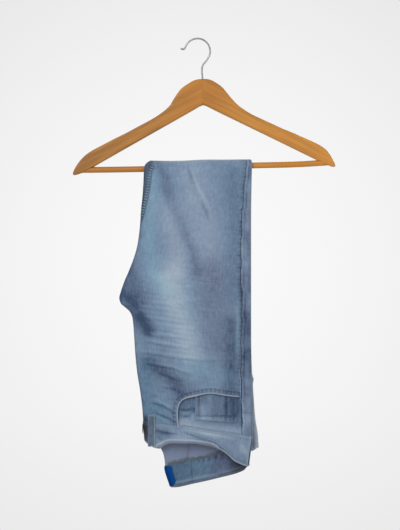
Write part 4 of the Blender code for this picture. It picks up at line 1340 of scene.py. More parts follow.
def sewn(name, points, places, layer, node, right_side_out, wall=WALL, wash=None,
         dropped=None, dim=0):
    """A panel or patch of denim laid over what it is sewn to."""
    wash = wash_and_shade_of(places, layer) if wash is None else wash
    x, level = places[..., 0], places[..., 1]
    # Painted shade: the shadow beside the front belt loop, and the cloth rolling away round the left edge
    # past the inseam
    beside_loop = 1
    for value, (middle, half_size) in zip((x, level), LOOP_SHADE):
        beside_loop = beside_loop * np.exp(-((value - middle) / half_size) ** 4)
    turn = front_inseam_turn(level)
    rolled = 0.36 * ease(turn, 1, 5) * ease(left_outline(level) + turn - x, 0.5, 4)
    rolled *= layer != "facing"
    dark = np.maximum(0.93 * beside_loop, rolled) * (places[..., 2] > 0)
    mesh = sheet_mesh(name, points, wash, dropped, np.maximum(dark, dim))
    looks = ("denim_right_side", "denim_wrong_side")
    piece = finished(mesh, name, looks if right_side_out else looks[::-1], (node,) if node else ())
    with_wall(piece, wall)
    return piece


def facing_sink(x, level):
    """How far a pocket facing lies under its panel, in metres; nothing at its seams."""
    side = right_outline(level) - front_strip(level)
    from_side = ease(side - x, 1, 12)
    from_waist = ease(level - front_seam(x), 0, 12)
    return 2 * ON_TOP * from_side * from_waist


def patch_grid(layer, left, right, top, bottom, offset, step, wander=0):
    """Grid of points on a layer of the front drop, moved out, with a sloping lower edge."""
    furthest = right(top) if callable(right) else right
    columns = int((furthest - left) / step) + 2
    rows = int(70 / step) + 2
    x = np.tile(np.linspace(left, furthest, columns), (rows, 1))
    lowest = bottom(x[0]) if callable(bottom) else np.linspace(*bottom, columns)
    level = top + (lowest - top) * np.linspace(0, 1, rows)[:, None]
    if callable(right):
        x = left + (x - left) / (furthest - left) * (right(level) - left)
    raised = wander * MM * ripple(x * 1.6, level * 1.6, 0.7)
    lift = offset(x, level) if callable(offset) else offset
    points = on_drop(layer, x, level, lift + raised)
    return points, on_front(x, level)


def stitch_mesh(name, lines, length, radius, across=False):
    """Short thread capsules along or across lines of (points, normals, pitch)."""
    whole = bmesh.new()
    for points, normals, pitch in lines:
        spots = resampled(np.concatenate([points, normals], axis=1), pitch)
        ways = np.gradient(spots[:, :3], axis=0)
        one = bmesh.new()
        for spot, way in zip(spots, ways):
            along = Vector(way).normalized()
            up = Vector(spot[3:])
            up = (up - along * up.dot(along)).normalized()
            side = up.cross(along)
            if across:
                along, side = side, -along
            turn = Matrix((along, side, up)).transposed().to_4x4()
            size = Matrix.Diagonal((length / 2, radius, min(radius, THREAD_FLAT), 1))
            place = Matrix.Translation(Vector(spot[:3]))
            bmesh.ops.create_icosphere(one, subdivisions=1, radius=1, matrix=place @ turn @ size)
        part = mesh_of(one, "line")
        whole.from_mesh(part)
        bpy.data.meshes.remove(part)
    return mesh_of(whole, name)


def drop_line(layer, path, offset, pitch):
    """A line to stitch on a layer of the front drop, from rows of x and level."""
    path = resampled(path, 1.2)
    x, level = path[:, 0], path[:, 1]
    lift = offset(x, level) if callable(offset) else offset
    return on_drop(layer, x, level, lift), outward(layer, x, level, lift), pitch * MM


def colour(name, description, default):
    """Setting for a colour given as 0 to 255."""
    return bpy.props.FloatVectorProperty(
        name=name, description=description + ", as 0 to 255", default=default, size=3)


def length(name, description, default):
    """Setting for a length."""
    return bpy.props.FloatProperty(name=name, description=description, default=default, unit="LENGTH")


class ClothSettings(bpy.types.PropertyGroup):
    """Colours and thread sizes of the denim."""

    deep_purple: colour("Deep purple blue", "Darkest reddish denim", (56, 67, 97))
    deep_teal: colour("Deep teal", "Darkest greenish denim", (37, 71, 99))
    middle_purple: colour("Middle purple blue", "Half faded reddish denim", (129, 143, 167))
    middle_teal: colour("Middle teal", "Half faded greenish denim", (114, 147, 171))
    faded_purple: colour("Faded purple blue", "Palest reddish denim", (178, 187, 199))
    faded_teal: colour("Faded teal", "Palest greenish denim", (163, 188, 199))
    inside_colour: colour("Inside", "Undyed side of the denim", (124, 133, 159))
    worn_edge: colour("Worn edge", "Denim rubbed pale on an edge", (178, 188, 200))
    thread_colour: colour("Thread", "Topstitching thread", (136, 146, 152))
    overlock_colour: colour("Overlock thread", "Thread round the raw inner edge", (120, 132, 140))
    inseam_colour: colour("Inseam thread", "Heavy cross stitches over the inseam", (150, 168, 182))
    button_colour: colour("Button", "Dark metal of the waist button", (52, 54, 56))
    label_colour: colour("Label", "Blue of the plain label", (10, 55, 112))
    stitch_length: length("Stitch length", "Length of one topstitch", 2.6 * MM)
    stitch_pitch: length("Stitch pitch", "Distance from one topstitch to the next", 3.1 * MM)
    thread_radius: length("Thread radius", "Half the thickness of the thread", 0.42 * MM)
    panel_step: bpy.props.FloatProperty(
        name="Panel step", description="Spacing of the outer panel's points, in millimetres", default=2.5)


class HangerSettings(bpy.types.PropertyGroup):
    """Colours and finish of the hanger."""

    arm_colour: colour("Arm wood", "Colour of the arms", (222, 148, 52))
    bar_colour: colour("Bar wood", "Colour of the bar", (208, 138, 42))
    grain_colour: colour("Grain", "Darkest grain", (150, 98, 30))
    edge_radius: length("Arm edge", "Radius of the arms' rounded edges", ARM_EDGE)


class StageSettings(bpy.types.PropertyGroup):
    """Camera, light and backdrop."""

    camera_distance: length("Camera distance", "From the lens to the hanger", 2.6)
    frame_height: length("Frame height", "Height of the picture at the hanger", 0.896)
    dome_light: bpy.props.FloatProperty(
        name="Dome light", description="Strength of the even light from all sides", default=0.62)
    key_power: bpy.props.FloatProperty(
        name="Key light", description="Power of the soft light before the object", default=30,
        unit="POWER")


class JEANS_OT_stage(bpy.types.Operator):
    """Pale round backdrop that glows with a painted pool of light, soft lights and the camera"""

    bl_idname = "jeans.stage"
    bl_label = "Stage"

    def execute(self, context):
        stage = context.scene.jeans_stage
        scene = context.scene
        scene.view_settings.view_transform = "Standard"
        bowl = bmesh.new()
        verts = [bowl.verts.new((0, y, z)) for y, z in BOWL_PROFILE]
        edges = [bowl.edges.new(pair) for pair in zip(verts, verts[1:])]
        spun(bowl, verts + edges, (0, 0, 1), 64)
        low = [edge for edge in bowl.edges if edge.is_boundary and edge.verts[0].co.z < FLOOR + 0.01]
        bmesh.ops.holes_fill(bowl, edges=low)
        bmesh.ops.recalc_face_normals(bowl, faces=bowl.faces)
        mesh = mesh_of(bowl, "backdrop")
        backdrop = bpy.data.objects.new("backdrop", mesh)
        bend = backdrop.modifiers.new("Smooth", "SUBSURF")
        bend.levels = 2
        bend.render_levels = 2
        # The backdrop glows; its painted pool of light is brightest behind the object and dimmer outwards
        # and on the floor
        look = Look("backdrop_paper", Roughness=1, Specular_IOR_Level=0, Emission_Strength=1)
        look.shader.inputs["Base Color"].default_value = (0, 0, 0, 1)
        x, y, z = look.parts(look.place())
        z += 0.345
        reach = (x * x + z * z) ** 0.75 * (1 / 1.7 ** 1.5)
        on_floor = look.math("MAXIMUM", 4.6 - (x * x + y * y) ** 0.5, 0)
        share = look.math("MINIMUM", reach + on_floor * 0.17, 1.15)
        glow = look.blend(share, (GLOW_POOL_BRIGHT,) * 3, (GLOW_POOL_DIM,) * 3)
        look.join(look.shader.inputs["Emission Color"], glow)
        mesh.materials.append(look.material)
        scene.collection.objects.link(backdrop)
        backdrop.visible_diffuse = False
        backdrop.visible_shadow = False
        world = bpy.data.worlds.new("studio")
        world.use_nodes = True
        shine = world.node_tree.nodes["Background"]
        shine.inputs["Color"].default_value = (0.97, 0.98, 1, 1)
        shine.inputs["Strength"].default_value = stage.dome_light
        scene.world = world
        self.lamp(scene, "key", (-0.9, -2.2, 0.9), stage.key_power)
        self.lamp(scene, "back", (1.2, 2.4, 0.9), stage.key_power)
        camera = bpy.data.cameras.new("camera")
        camera.sensor_fit = "AUTO"
        camera.sensor_width = 36
        camera.lens = camera.sensor_width * stage.camera_distance / stage.frame_height
        camera.clip_end = 30
        holder = bpy.data.objects.new("camera", camera)
        holder.location = (PICTURE_MIDDLE[0], -stage.camera_distance, PICTURE_MIDDLE[1])
        holder.rotation_euler = (math.radians(90), 0, 0)
        scene.collection.objects.link(holder)
        scene.camera = holder
        return {"FINISHED"}

    def lamp(self, scene, name, place, power):
        light = bpy.data.lights.new(name, "AREA")
        light.shape = "DISK"
        light.size = LIGHT_SIZE
        light.energy = power
        holder = bpy.data.objects.new(name, light)
        holder.location = place
        holder.rotation_euler = (Vector(LIGHT_AIM) - Vector(place)).to_track_quat("-Z", "Y").to_euler()
        holder.visible_camera = False
        scene.collection.objects.link(holder)


class JEANS_OT_hanger_arms(bpy.types.Operator):
    """Two shaped arms glued at the head"""

    bl_idname = "jeans.hanger_arms"
    bl_label = "Hanger arms"

    def execute(self, context):
        for name, side in (("hanger_arm_left", -1), ("hanger_arm_right", 1)):
            upper = Curve(ARM_UPPER)
            outline = [(x, float(upper(x))) for x in np.linspace(0, 214, 64)]
            tip = ((214, upper(214)), (218, -141)) + ARM_TIP + ARM_LOWER[:1]
            outline += [tuple(p) for p in curve_points(tip, 2.4)[1:]]
            outline += [tuple(p) for p in curve_points(ARM_LOWER, 7)[1:]]
            arm = bmesh.new()
            verts = []
            for u, w in outline:
                near_neck = side < 0 and w > ARM_LOWER[4][1] + u * 0.2
                fuller = LEFT_ARM_FULLER * math.exp(-((u - 40) / 14) ** 2) if near_neck else 0
                shorter = RIGHT_TIP_SHORTER * float(ease(u, 204, 224)) if side > 0 else 0
                along = Vector((side * max(u + fuller - shorter, 0.02) * MM, w * MM))
                along.rotate(Matrix.Rotation(HANGER_TILT, 2))
                verts.append(arm.verts.new((HEAD_TOP.x + along.x, -ARM_THICK / 2, HEAD_TOP.y + along.y)))
            face = arm.faces.new(verts)
            raised = bmesh.ops.extrude_face_region(arm, geom=[face])
            moved = [v for v in raised["geom"] if isinstance(v, bmesh.types.BMVert)]
            bmesh.ops.translate(arm, verts=moved, vec=(0, ARM_THICK, 0))
            bmesh.ops.recalc_face_normals(arm, faces=arm.faces)
            rims = [e for e in arm.edges if abs(e.verts[0].co.y - e.verts[1].co.y) < 1e-6]
            rims = [e for e in rims if max(abs(v.co.x - HEAD_TOP.x) for v in e.verts) > 3 * MM]
            radius = context.scene.jeans_hanger.edge_radius
            bmesh.ops.bevel(
                arm, geom=rims, offset=radius, offset_type="OFFSET", affect="EDGES",
                segments=5, profile=0.5, material=-1, clamp_overlap=True)
            finished(mesh_of(arm, name + "_shaped", 6), name + "_shaped", ("arm_wood",), (name,))
        return {"FINISHED"}


def swept_wire(name, points, radius, taper=None):
    """Mesh of a round rod along points, in the plane of the hanger."""
    rod = bmesh.new()
    rings = []
    points = [Vector(p) for p in points]
    for i, point in enumerate(points):
        way = (points[min(i + 1, len(points) - 1)] - points[max(i - 1, 0)]).normalized()
        side = Vector((0, 1, 0))
        up = way.cross(side).normalized()
        turn = Matrix((side, up, way)).transposed().to_4x4()
        width = radius * (taper[i] if taper is not None else 1)
        made = bmesh.ops.create_circle(
            rod, cap_ends=False, segments=WIRE_SIDES, radius=width, matrix=Matrix.Translation(point) @ turn)
        rings.append(made["verts"])
    for first, second in zip(rings, rings[1:]):
        edges = {e for v in first for e in v.link_edges if e.other_vert(v) in first}
        edges |= {e for v in second for e in v.link_edges if e.other_vert(v) in second}
        bmesh.ops.bridge_loops(rod, edges=list(edges))
    for ring in (rings[0], rings[-1]):
        edges = {e for v in ring for e in v.link_edges if e.other_vert(v) in ring}
        bmesh.ops.holes_fill(rod, edges=list(edges))
    bmesh.ops.recalc_face_normals(rod, faces=rod.faces)
    return mesh_of(rod, name, 5)


class JEANS_OT_bar(bpy.types.Operator):
    """Turned bar that the legs hang over"""

    bl_idname = "jeans.bar"
    bl_label = "Bar"

    def execute(self, context):
        reach = HANGER_HALF - 10 * MM
        xs = HEAD_TOP.x + np.linspace(-reach, reach, 60)
        points = [(x, 0, bar_height(x) - BAR_DROP * float(ease(x, 60 * MM, 190 * MM))) for x in xs]
        mesh = swept_wire("bar_turned", points, BAR_RADIUS)
        finished(mesh, "bar_turned", ("bar_wood",), ("bar",))
        return {"FINISHED"}


class JEANS_OT_hook(bpy.types.Operator):
    """Bright wire hook with its flicked tip"""

    bl_idname = "jeans.hook"
    bl_label = "Hook"

    def execute(self, context):
        x, z = HOOK_CENTRE
        turns = [math.radians(mix(*HOOK_TURN, step / 12)) for step in range(13)]
        loop = [(x + HOOK_RADIUS * math.cos(turn), z + HOOK_RADIUS * math.sin(turn)) for turn in turns]
        smooth = curve_points([*HOOK_STEM, *loop, *HOOK_TIP], 1.3) * MM
        taper = np.ones(len(smooth))
        taper[-4:] = HOOK_TIP_WIDTHS
        points = [(x, 0, z) for x, z in smooth]
        mesh = swept_wire("hook_wire", points, WIRE_RADIUS, taper)
        finished(mesh, "hook_wire", ("bright_wire",), ("hook",))
        return {"FINISHED"}


def hem_drop(x, level):
    """True where the pocket opening is cut out of a front panel."""
    opening = side_of(curve_points(POCKET_OPENING, 3), -OPENING_CUT_BACK)
    inside = np.zeros(x.shape, dtype=bool)
    ring = [tuple(p) for p in opening] + [(82, -700), (-35, -700)]
    for (x0, z0), (x1, z1) in zip(ring, ring[1:] + ring[:1]):
        crosses = (z0 > level) != (z1 > level)
        at = x0 + (level - z0) * (x1 - x0) / (z1 - z0 if z1 != z0 else 1e-9)
        inside ^= crosses & (x < at)
    return inside


class JEANS_OT_leg_panels(bpy.types.Operator):
    """Front and back panels of both legs, from hem to hips"""

    bl_idname = "jeans.leg_panels"
    bl_label = "Leg panels"

    def execute(self, context):
        step = context.scene.jeans_cloth.panel_step
        for half in ("right", "left"):
            fine = step if half == "right" else step * COARSER
            rows = leg_rows(fine) + hip_rows(0.03, 1, fine)
            columns = int(160 / fine)
            layer = half + " front"
            points, places = laid(rows, lambda row: front_line(row, half, columns, 8))
            gone = hem_drop(places[..., 0], places[..., 1]) & (places[..., 2] > 0.5)
            sewn(half + "_front_cloth", points, places, layer, half + "_front",
                 half == "right", dropped=gone.ravel())
            coarse = step * COARSER
            rows = leg_rows(coarse) + hip_rows(0.03, YOKE_SHARE, coarse)
            columns = int(150 / coarse)
            points, places = laid(rows, lambda row: back_line(row, half, columns, 14))
            wash = wash_and_shade_of(places, half + " front")
            sewn(half + "_back_cloth", points, places, half + " back", half + "_back",
                 half == "left", wash=wash)
        return {"FINISHED"}


class JEANS_OT_yokes(bpy.types.Operator):
    """Yokes between the back panels and the waistband"""

    bl_idname = "jeans.yokes"
    bl_label = "Yokes"

    def execute(self, context):
        for half in ("right", "left"):
            rows = hip_rows(YOKE_SHARE, 1.02, 2.5)
            points, places = laid(rows, lambda row: back_line(row, half, YOKE_COLUMNS, 10))
            light, teal, wear = wash_and_shade_of(places, half + " front")
            columns = places.shape[1]
            inside = ease(-np.arange(columns), 22 - columns, 28 - columns)[None, :]
            x, level = places[..., 0], places[..., 1]
            # Inside of the yoke, with painted shade darkening it towards the right
            shade = 0.4 + 0.05 * ripple(x, level, 0.8) - 0.3 * ease(x, 30, 76)
            join = 0.5 * bell(x + 16.5, (level + 700) * 0.1, 1)
            serged = 0.5 * bell(level - back_seam(x), 3, 3.5) * ease(x, 2, 24)
            light = mix(light, shade, inside)
            sewn(half + "_yoke_cloth", points, places, half + " back", half + "_yoke",
                 half == "left", wash=(light, mix(teal, 0.1, inside), wear),
                 dim=inside * np.maximum(join, serged))
        return {"FINISHED"}


class JEANS_OT_waistbands(bpy.types.Operator):
    """Both halves of the waistband, paler along their upper edge"""

    bl_idname = "jeans.waistbands"
    bl_label = "Waistbands"

    def execute(self, context):
        for half in ("right", "left"):
            shares = np.concatenate([[-0.03], np.linspace(0, 1, 18)])
            rows = [Row("front", band=float(share)) for share in shares]
            points, places = laid(rows, lambda row: band_line(row, half, *BAND_COLUMNS))
            share = np.broadcast_to(shares[:, None], places.shape[:2])
            x, level = places[..., 0], places[..., 1]
            back = ease(np.arange(places.shape[1]), 84, 90)[None, :]
            light = 0.44 + 0.05 * ripple(x * 1.3, level * 1.3, 2)
            teal = 0.4 + 0.12 * ripple(x, level, 0.9)
            pale = 0.12 + 0 * x
            for half_width, amount, tint, path in BAND_FADES_AND_SHADES:
                away, along = beside(x, level, path)
                near = bell(away, 0, half_width) * np.sin(math.pi * np.clip(along, 0.03, 0.97)) ** 0.4
                light += amount * near * (half == "right")
                teal += tint * near
                pale += near * (tint > 0.2)
            light -= 0.14 * bell(share, 0.88, 0.05)
            rolled = 0.2 * (half == "right") * ease(44 - x, 0, 22) * ease(x, -76, -62)
            wear = 0.9 * bell(share - 1 + rolled, 0, 0.04) * (1 - 0.75 * back)
            under = ease(share, 1.04 - rolled, 1.09 - rolled) * (1 - back)
            wear = np.maximum(wear, 0.3 * pale * (1 - back) + 0.25 * ease(share, 0.88, 0.94) * back)
            beyond = x - right_outline(level)
            end = bell(beyond, -1.2, 1.3) * (1 - back)
            if half == "right":
                wear = np.maximum(wear, 0.45 * end)
                shaded = 0 * x
            else:
                wear = np.maximum(wear, 0.8 * bell(beyond, 2.4, 0.7) * (1 - back))
                # Painted shade in the gap between the near half and the far half
                shaded = 0.8 * bell(beyond, 0.4, 1.4) * (1 - back)
            wear = np.maximum(wear, 0.4 * under * (half == "right"))
            teal -= 0.3 * under
            # Inside of the band, with painted shade darkening it towards the right
            deep = 0.16 + 0.04 * ripple(x, level, 1.1) - 0.16 * ease(x, 40, 84)
            deep = deep + 0.14 * bell(share, 0.8, 0.05) - 0.12 * ease(share, 0.86, 0.9)
            tufts = np.maximum(np.sin(x / 1.5 + 1.2 * np.sin(x / 9)), 0) * ease(x, -30, 15)
            deep -= 0.22 * tufts * bell(share, 0.04, 0.12)
            deep += 0.06 * ease(x, -8, -4) * ease(50 - x, 0, 30)
            deep -= 0.16 * bell(x + 9.5, 12 * (share - 0.5) * 0.1, 1.1)
            light = mix(light, deep, back)
            teal = mix(teal, 0.8 - 0.7 * ease(x, 10, 40) - 0.5 * ease(share, 0.84, 0.92), back)
            # Painted shade in the inside band's right-hand corner and along its edge
            corner = np.maximum(0.7 * ease(x, 44, 74), 0.3 * ease(share, 0.86, 0.93))
            shaded = np.maximum(shaded, back * corner)
            sewn(half + "_waistband_cloth", points, places, half + " front", half + "_waistband",
                 half == "right",
                 wall=BAND_WALL, wash=(light, teal, wear), dim=np.maximum(shaded, 0.36 * under))
            mesh = bpy.data.objects[half + "_waistband_cloth"].data
            for i in range(2):
                mesh.materials[i] = look_named("denim_right_side")
        return {"FINISHED"}


class JEANS_OT_pockets(bpy.types.Operator):
    """Pocket facings, scooped hems, coin pocket and back pockets"""

    bl_idname = "jeans.pockets"
    bl_label = "Pockets"

    def execute(self, context):
        side = lambda level: right_outline(level) - front_strip(level) - 0.4
        waist = lambda x: front_seam(x) - 1.5
        for half, outward_sign in (("right", 1), ("left", -1)):
            layer = half + " front"
            under = lambda x, level: -outward_sign * facing_sink(x, level)
            points, places = patch_grid(layer, POCKET_LEFT, side, POCKET_TOP, waist, under, 2.2, 0.25)
            x, level = places[..., 0], places[..., 1]
            light, teal, wear = wash_and_shade_of(places, "facing")
            near_waist = bell(level, front_seam(x), 13)
            left_part = bell(x, -16, 16)
            light = light - 0.2 + 0.36 * near_waist + 0.08 * left_part * ease(-level, 600, 640)
            for half_width, amount, path in FACING_WRINKLE_SHADES:
                away, along = beside(x, level, path)
                light += amount * bell(away, 0, half_width) * np.sin(math.pi * along) ** 0.5
            light -= self.shadow(x, level)
            wear = 0.16 * bell(level - front_seam(x), 5, 7)
            sewn(half + "_pocket_facing_cloth", points, places, layer, half + "_pocket_facing",
                 half == "right",
                 wash=(light, teal + 0.12 - 0.3 * near_waist, wear))
            back = half + " back"
            points, places = patch_grid(
                back, *BACK_POCKET_ENDS, BACK_POCKET_TOP, BACK_POCKET_HEM, -outward_sign * ON_TOP, 3.5)
            sewn(half + "_back_pocket_cloth", points, places, back, half + "_back_pocket",
                 half == "left")
            self.hem(half, layer)
        self.coin_pocket()
        return {"FINISHED"}

    def shadow(self, x, level):
        """Shade under the turned edge of the opening."""
        away, _ = beside(x, level, POCKET_OPENING)
        return 0.34 * bell(away, 0, 3.2)

    def coin_pocket(self):
        """Small pocket on the facing, its turned edge towards the waist."""
        on_facing = lambda x, level: COIN_LIFT - facing_sink(x, level)
        points, places = patch_grid(
            "right front", *COIN_POCKET_ENDS, COIN_POCKET_TOP, COIN_POCKET_HEM, on_facing, 2, 0.2)
        x, level = places[..., 0], places[..., 1]
        light, teal, wear = wash_and_shade_of(places, "coin")
        left, right = COIN_POCKET_ENDS
        edge = level - mix(*COIN_POCKET_HEM, (x - left) / (right - left))
        hem = 5 + 4 * (x - left) / (right - left)
        light = light - 0.18 + 0.26 * bell(x - left, 12, 9) * ease(-level, 608, 622)
        light = light + 0.1 * bell(x - left, 24, 4) + 0.08 * np.sin(x / 1.6) * ease(x, 38, 46)
        light -= 0.14 * ease(x, 40, 48) * ease(-level, 600, 606)
        # Paler along the turned edge, with a line of painted shade where the hem ends
        light = light + 0.16 * bell(edge, hem / 2, 2.6) - 0.2 * bell(edge - hem, 1.4, 1.1)
        light = light - 0.2 * bell(x - left, 6, 1.5) - 0.14 * bell(x - right, -4, 2)
        light -= 0.8 * self.shadow(x, level)
        patch = bell(x, 56, 8) * bell(edge, 5, 5)
        light += 0.14 * patch * np.sin(x * 0.9)
        teal += 0.35 * patch
        wear = 0.5 * bell(edge, 0, 1.2) + 0.35 * bell(x, left, 1)
        sewn("coin_pocket_cloth", points, places, "right front", "coin_pocket",
             True, wash=(light, teal, wear))

    def hem(self, half, layer):
        """Turned and double-stitched edge of the scooped opening."""
        path = curve_points(POCKET_OPENING, 2)
        rows, places = [], []
        sign = 1 if half == "right" else -1
        for offset, height in HEM_PROFILE:
            x, level = side_of(path, -offset).T
            rows.append(on_drop(layer, x, level, sign * height * MM))
            places.append(on_front(x, level))
        points, places = np.array(rows), np.array(places)
        offset = np.array(HEM_PROFILE)[:, :1] + 0 * places[..., 0]
        light, teal, _ = wash_and_shade_of(places, layer)
        # Painted shade in the hem's two stitched grooves and where it meets the panel
        light = light - 0.06 - 0.14 * bell(offset, 6, 0.9) - 0.1 * bell(offset, 2.9, 0.7)
        light -= 0.18 * bell(offset, HEM_WIDTH, 0.8)
        light += 0.1 * np.sin(np.arange(places.shape[1]) * 1.9)[None, :] * (offset > 1.5)
        rolled = 0.7 + 1.1 * bell(places[..., 0], -10, 13)
        wear = 0.8 * bell(offset, 0.1, rolled)
        sewn(half + "_pocket_hem", points, places, layer, None,
             half == "right", wall=0.8 * MM, wash=(light, teal, wear))


class JEANS_OT_belt_loops(bpy.types.Operator):
    """Five belt loops sewn over the waistband"""

    bl_idname = "jeans.belt_loops"
    bl_label = "Belt loops"

    def execute(self, context):
        lift = BAND_WALL / 2 + LOOP_STAND + LOOP_WALL / 2
        for name, layer, x_middle, levels, side in BELT_LOOPS:
            past_panel = WALL if layer == "left front" else 0
            self.loop(name, layer, x_middle, levels, side * lift - past_panel)
        return {"FINISHED"}

    def loop(self, name, layer, x_middle, levels, offset):
        half_width = LOOP_WIDTH / MM / 2
        across_shares = np.linspace(-1, 1, 13)
        down_shares = np.linspace(0, 1, 34)
        rounding = 1 - 0.4 * bell(down_shares, 0, 0.05)[:, None]
        x = x_middle + half_width * across_shares[None, :] * rounding
        level = mix(levels[0], levels[1], down_shares)[:, None] + 0 * x
        dip = 1 - 0.75 * (bell(down_shares, 0, 0.07) + bell(1, down_shares, 0.07))[:, None]
        ridge = 0.35 * bell(np.abs(across_shares), 0.82, 0.14) - 0.15 * bell(across_shares, 0, 0.3)
        sign = 1 if offset > 0 else -1
        points = on_drop(layer, x, level, offset * dip + sign * ridge * MM)
        places = on_front(x, level)
        light = 0.27 + 0.08 * ripple(x * 3, level * 3, 1)
        rim = bell(np.abs(across_shares), 0.92, 0.14) * np.where(across_shares > 0, 0.8, 0.4)
        top = bell(down_shares, 0.05, 0.03)[:, None]
        wear = np.maximum(rim + 0 * x, 0.4 * top) * (0.85 + 0.15 * np.sin(level / 2.1))
        right_out = layer in ("right front", "left back")
        sewn(name + "_strap", points, places, layer, name,
             right_out, wall=LOOP_WALL,
             wash=(light, 0.3 + 0 * x, wear), dim=0.32 * (1 - np.clip(wear, 0, 1)))


class JEANS_OT_fly(bpy.types.Operator):
    """Fly placket and the closed zip inside it"""

    bl_idname = "jeans.fly"
    bl_label = "Fly"

    def execute(self, context):
        rows, places = [], []
        reach = Curve(PLACKET_WIDTH)
        for level in np.arange(-641, -514.5, 3):
            row = Row("front", float(level))
            left = row.left()
            middle = row.left_middle("left")
            first = quarter_length(row, left, 1, middle, "left front") + 2 * MM
            stops = np.linspace(first, float(reach(level)) * MM, 16)
            x, depth, at, _ = round_end(row, left, 1, middle, "left front", stops, 0, ON_TOP)
            rows.append(row.put(x, depth, at))
            places.append(on_front(x / MM, at))
        rows.reverse()
        places.reverse()
        sewn("fly_placket_cloth", np.array(rows), np.array(places), "left front", "fly_placket",
             False)
        zip_node = bpy.data.objects["fly_zip"]
        for slot in zip_node.material_slots:
            slot.material = look_named("zip_metal")
        return {"FINISHED"}


class JEANS_OT_button(bpy.types.Operator):
    """Dark waist button with a dished face"""

    bl_idname = "jeans.button"
    bl_label = "Waist button"

    def execute(self, context):
        low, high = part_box("waist_button")
        centre = (Vector(low) + Vector(high)) / 2
        radius = (high[2] - low[2]) / 2
        thick = high[0] - low[0]
        made = bmesh.new()
        verts = [made.verts.new((-t * thick, 0, r * radius)) for r, t in BUTTON_PROFILE]
        edges = [made.edges.new(pair) for pair in zip(verts, verts[1:])]
        spun(made, verts + edges, (1, 0, 0), 40)
        bmesh.ops.remove_doubles(made, verts=made.verts, dist=1e-6)
        bmesh.ops.recalc_face_normals(made, faces=made.faces)
        bmesh.ops.translate(made, verts=made.verts, vec=centre)
        mesh = mesh_of(made, "waist_button_dished")
        finished(mesh, "waist_button_dished", ("dark_button",), ("waist_button",))
        return {"FINISHED"}


class JEANS_OT_label(bpy.types.Operator):
    """Plain blue label sewn over the centre-back fold"""

    bl_idname = "jeans.label"
    bl_label = "Label"

    def execute(self, context):
        rows = []
        outset = BAND_WALL / 2 + 2 * LAYER_GAP + WALL / 2
        for share in np.linspace(0, 1, 16):
            line = []
            for run in LABEL_RUNS:
                top = 0.17 * min(1, max(0, 1 - run / 3)) + 0.12 * max(run - 3, 0) / 11 - 0.04
                row = Row("front", band=float(mix(top, 0.97 - 0.2 * (max(run, 0) / 14) ** 2, share)))
                fold = row.fold()
                middle = row.depth("centre", fold, row.level_at(fold, 1))
                layer = "right back" if run >= 0 else "left back"
                x, depth, level, _ = round_end(row, fold, 1, middle, layer, [abs(run) * MM], 1, outset)
                line.append(row.put(x, depth, level)[0])
            rows.append(line)
        points = np.array(rows)
        blank = np.zeros(points.shape[:2])
        mesh = sheet_mesh("label_patch", points, (blank, blank, blank))
        piece = finished(mesh, "label_patch", ("blue_label",), ("label",))
        with_wall(piece, WALL)
        piece.modifiers["Wall"].material_offset = 0
        return {"FINISHED"}


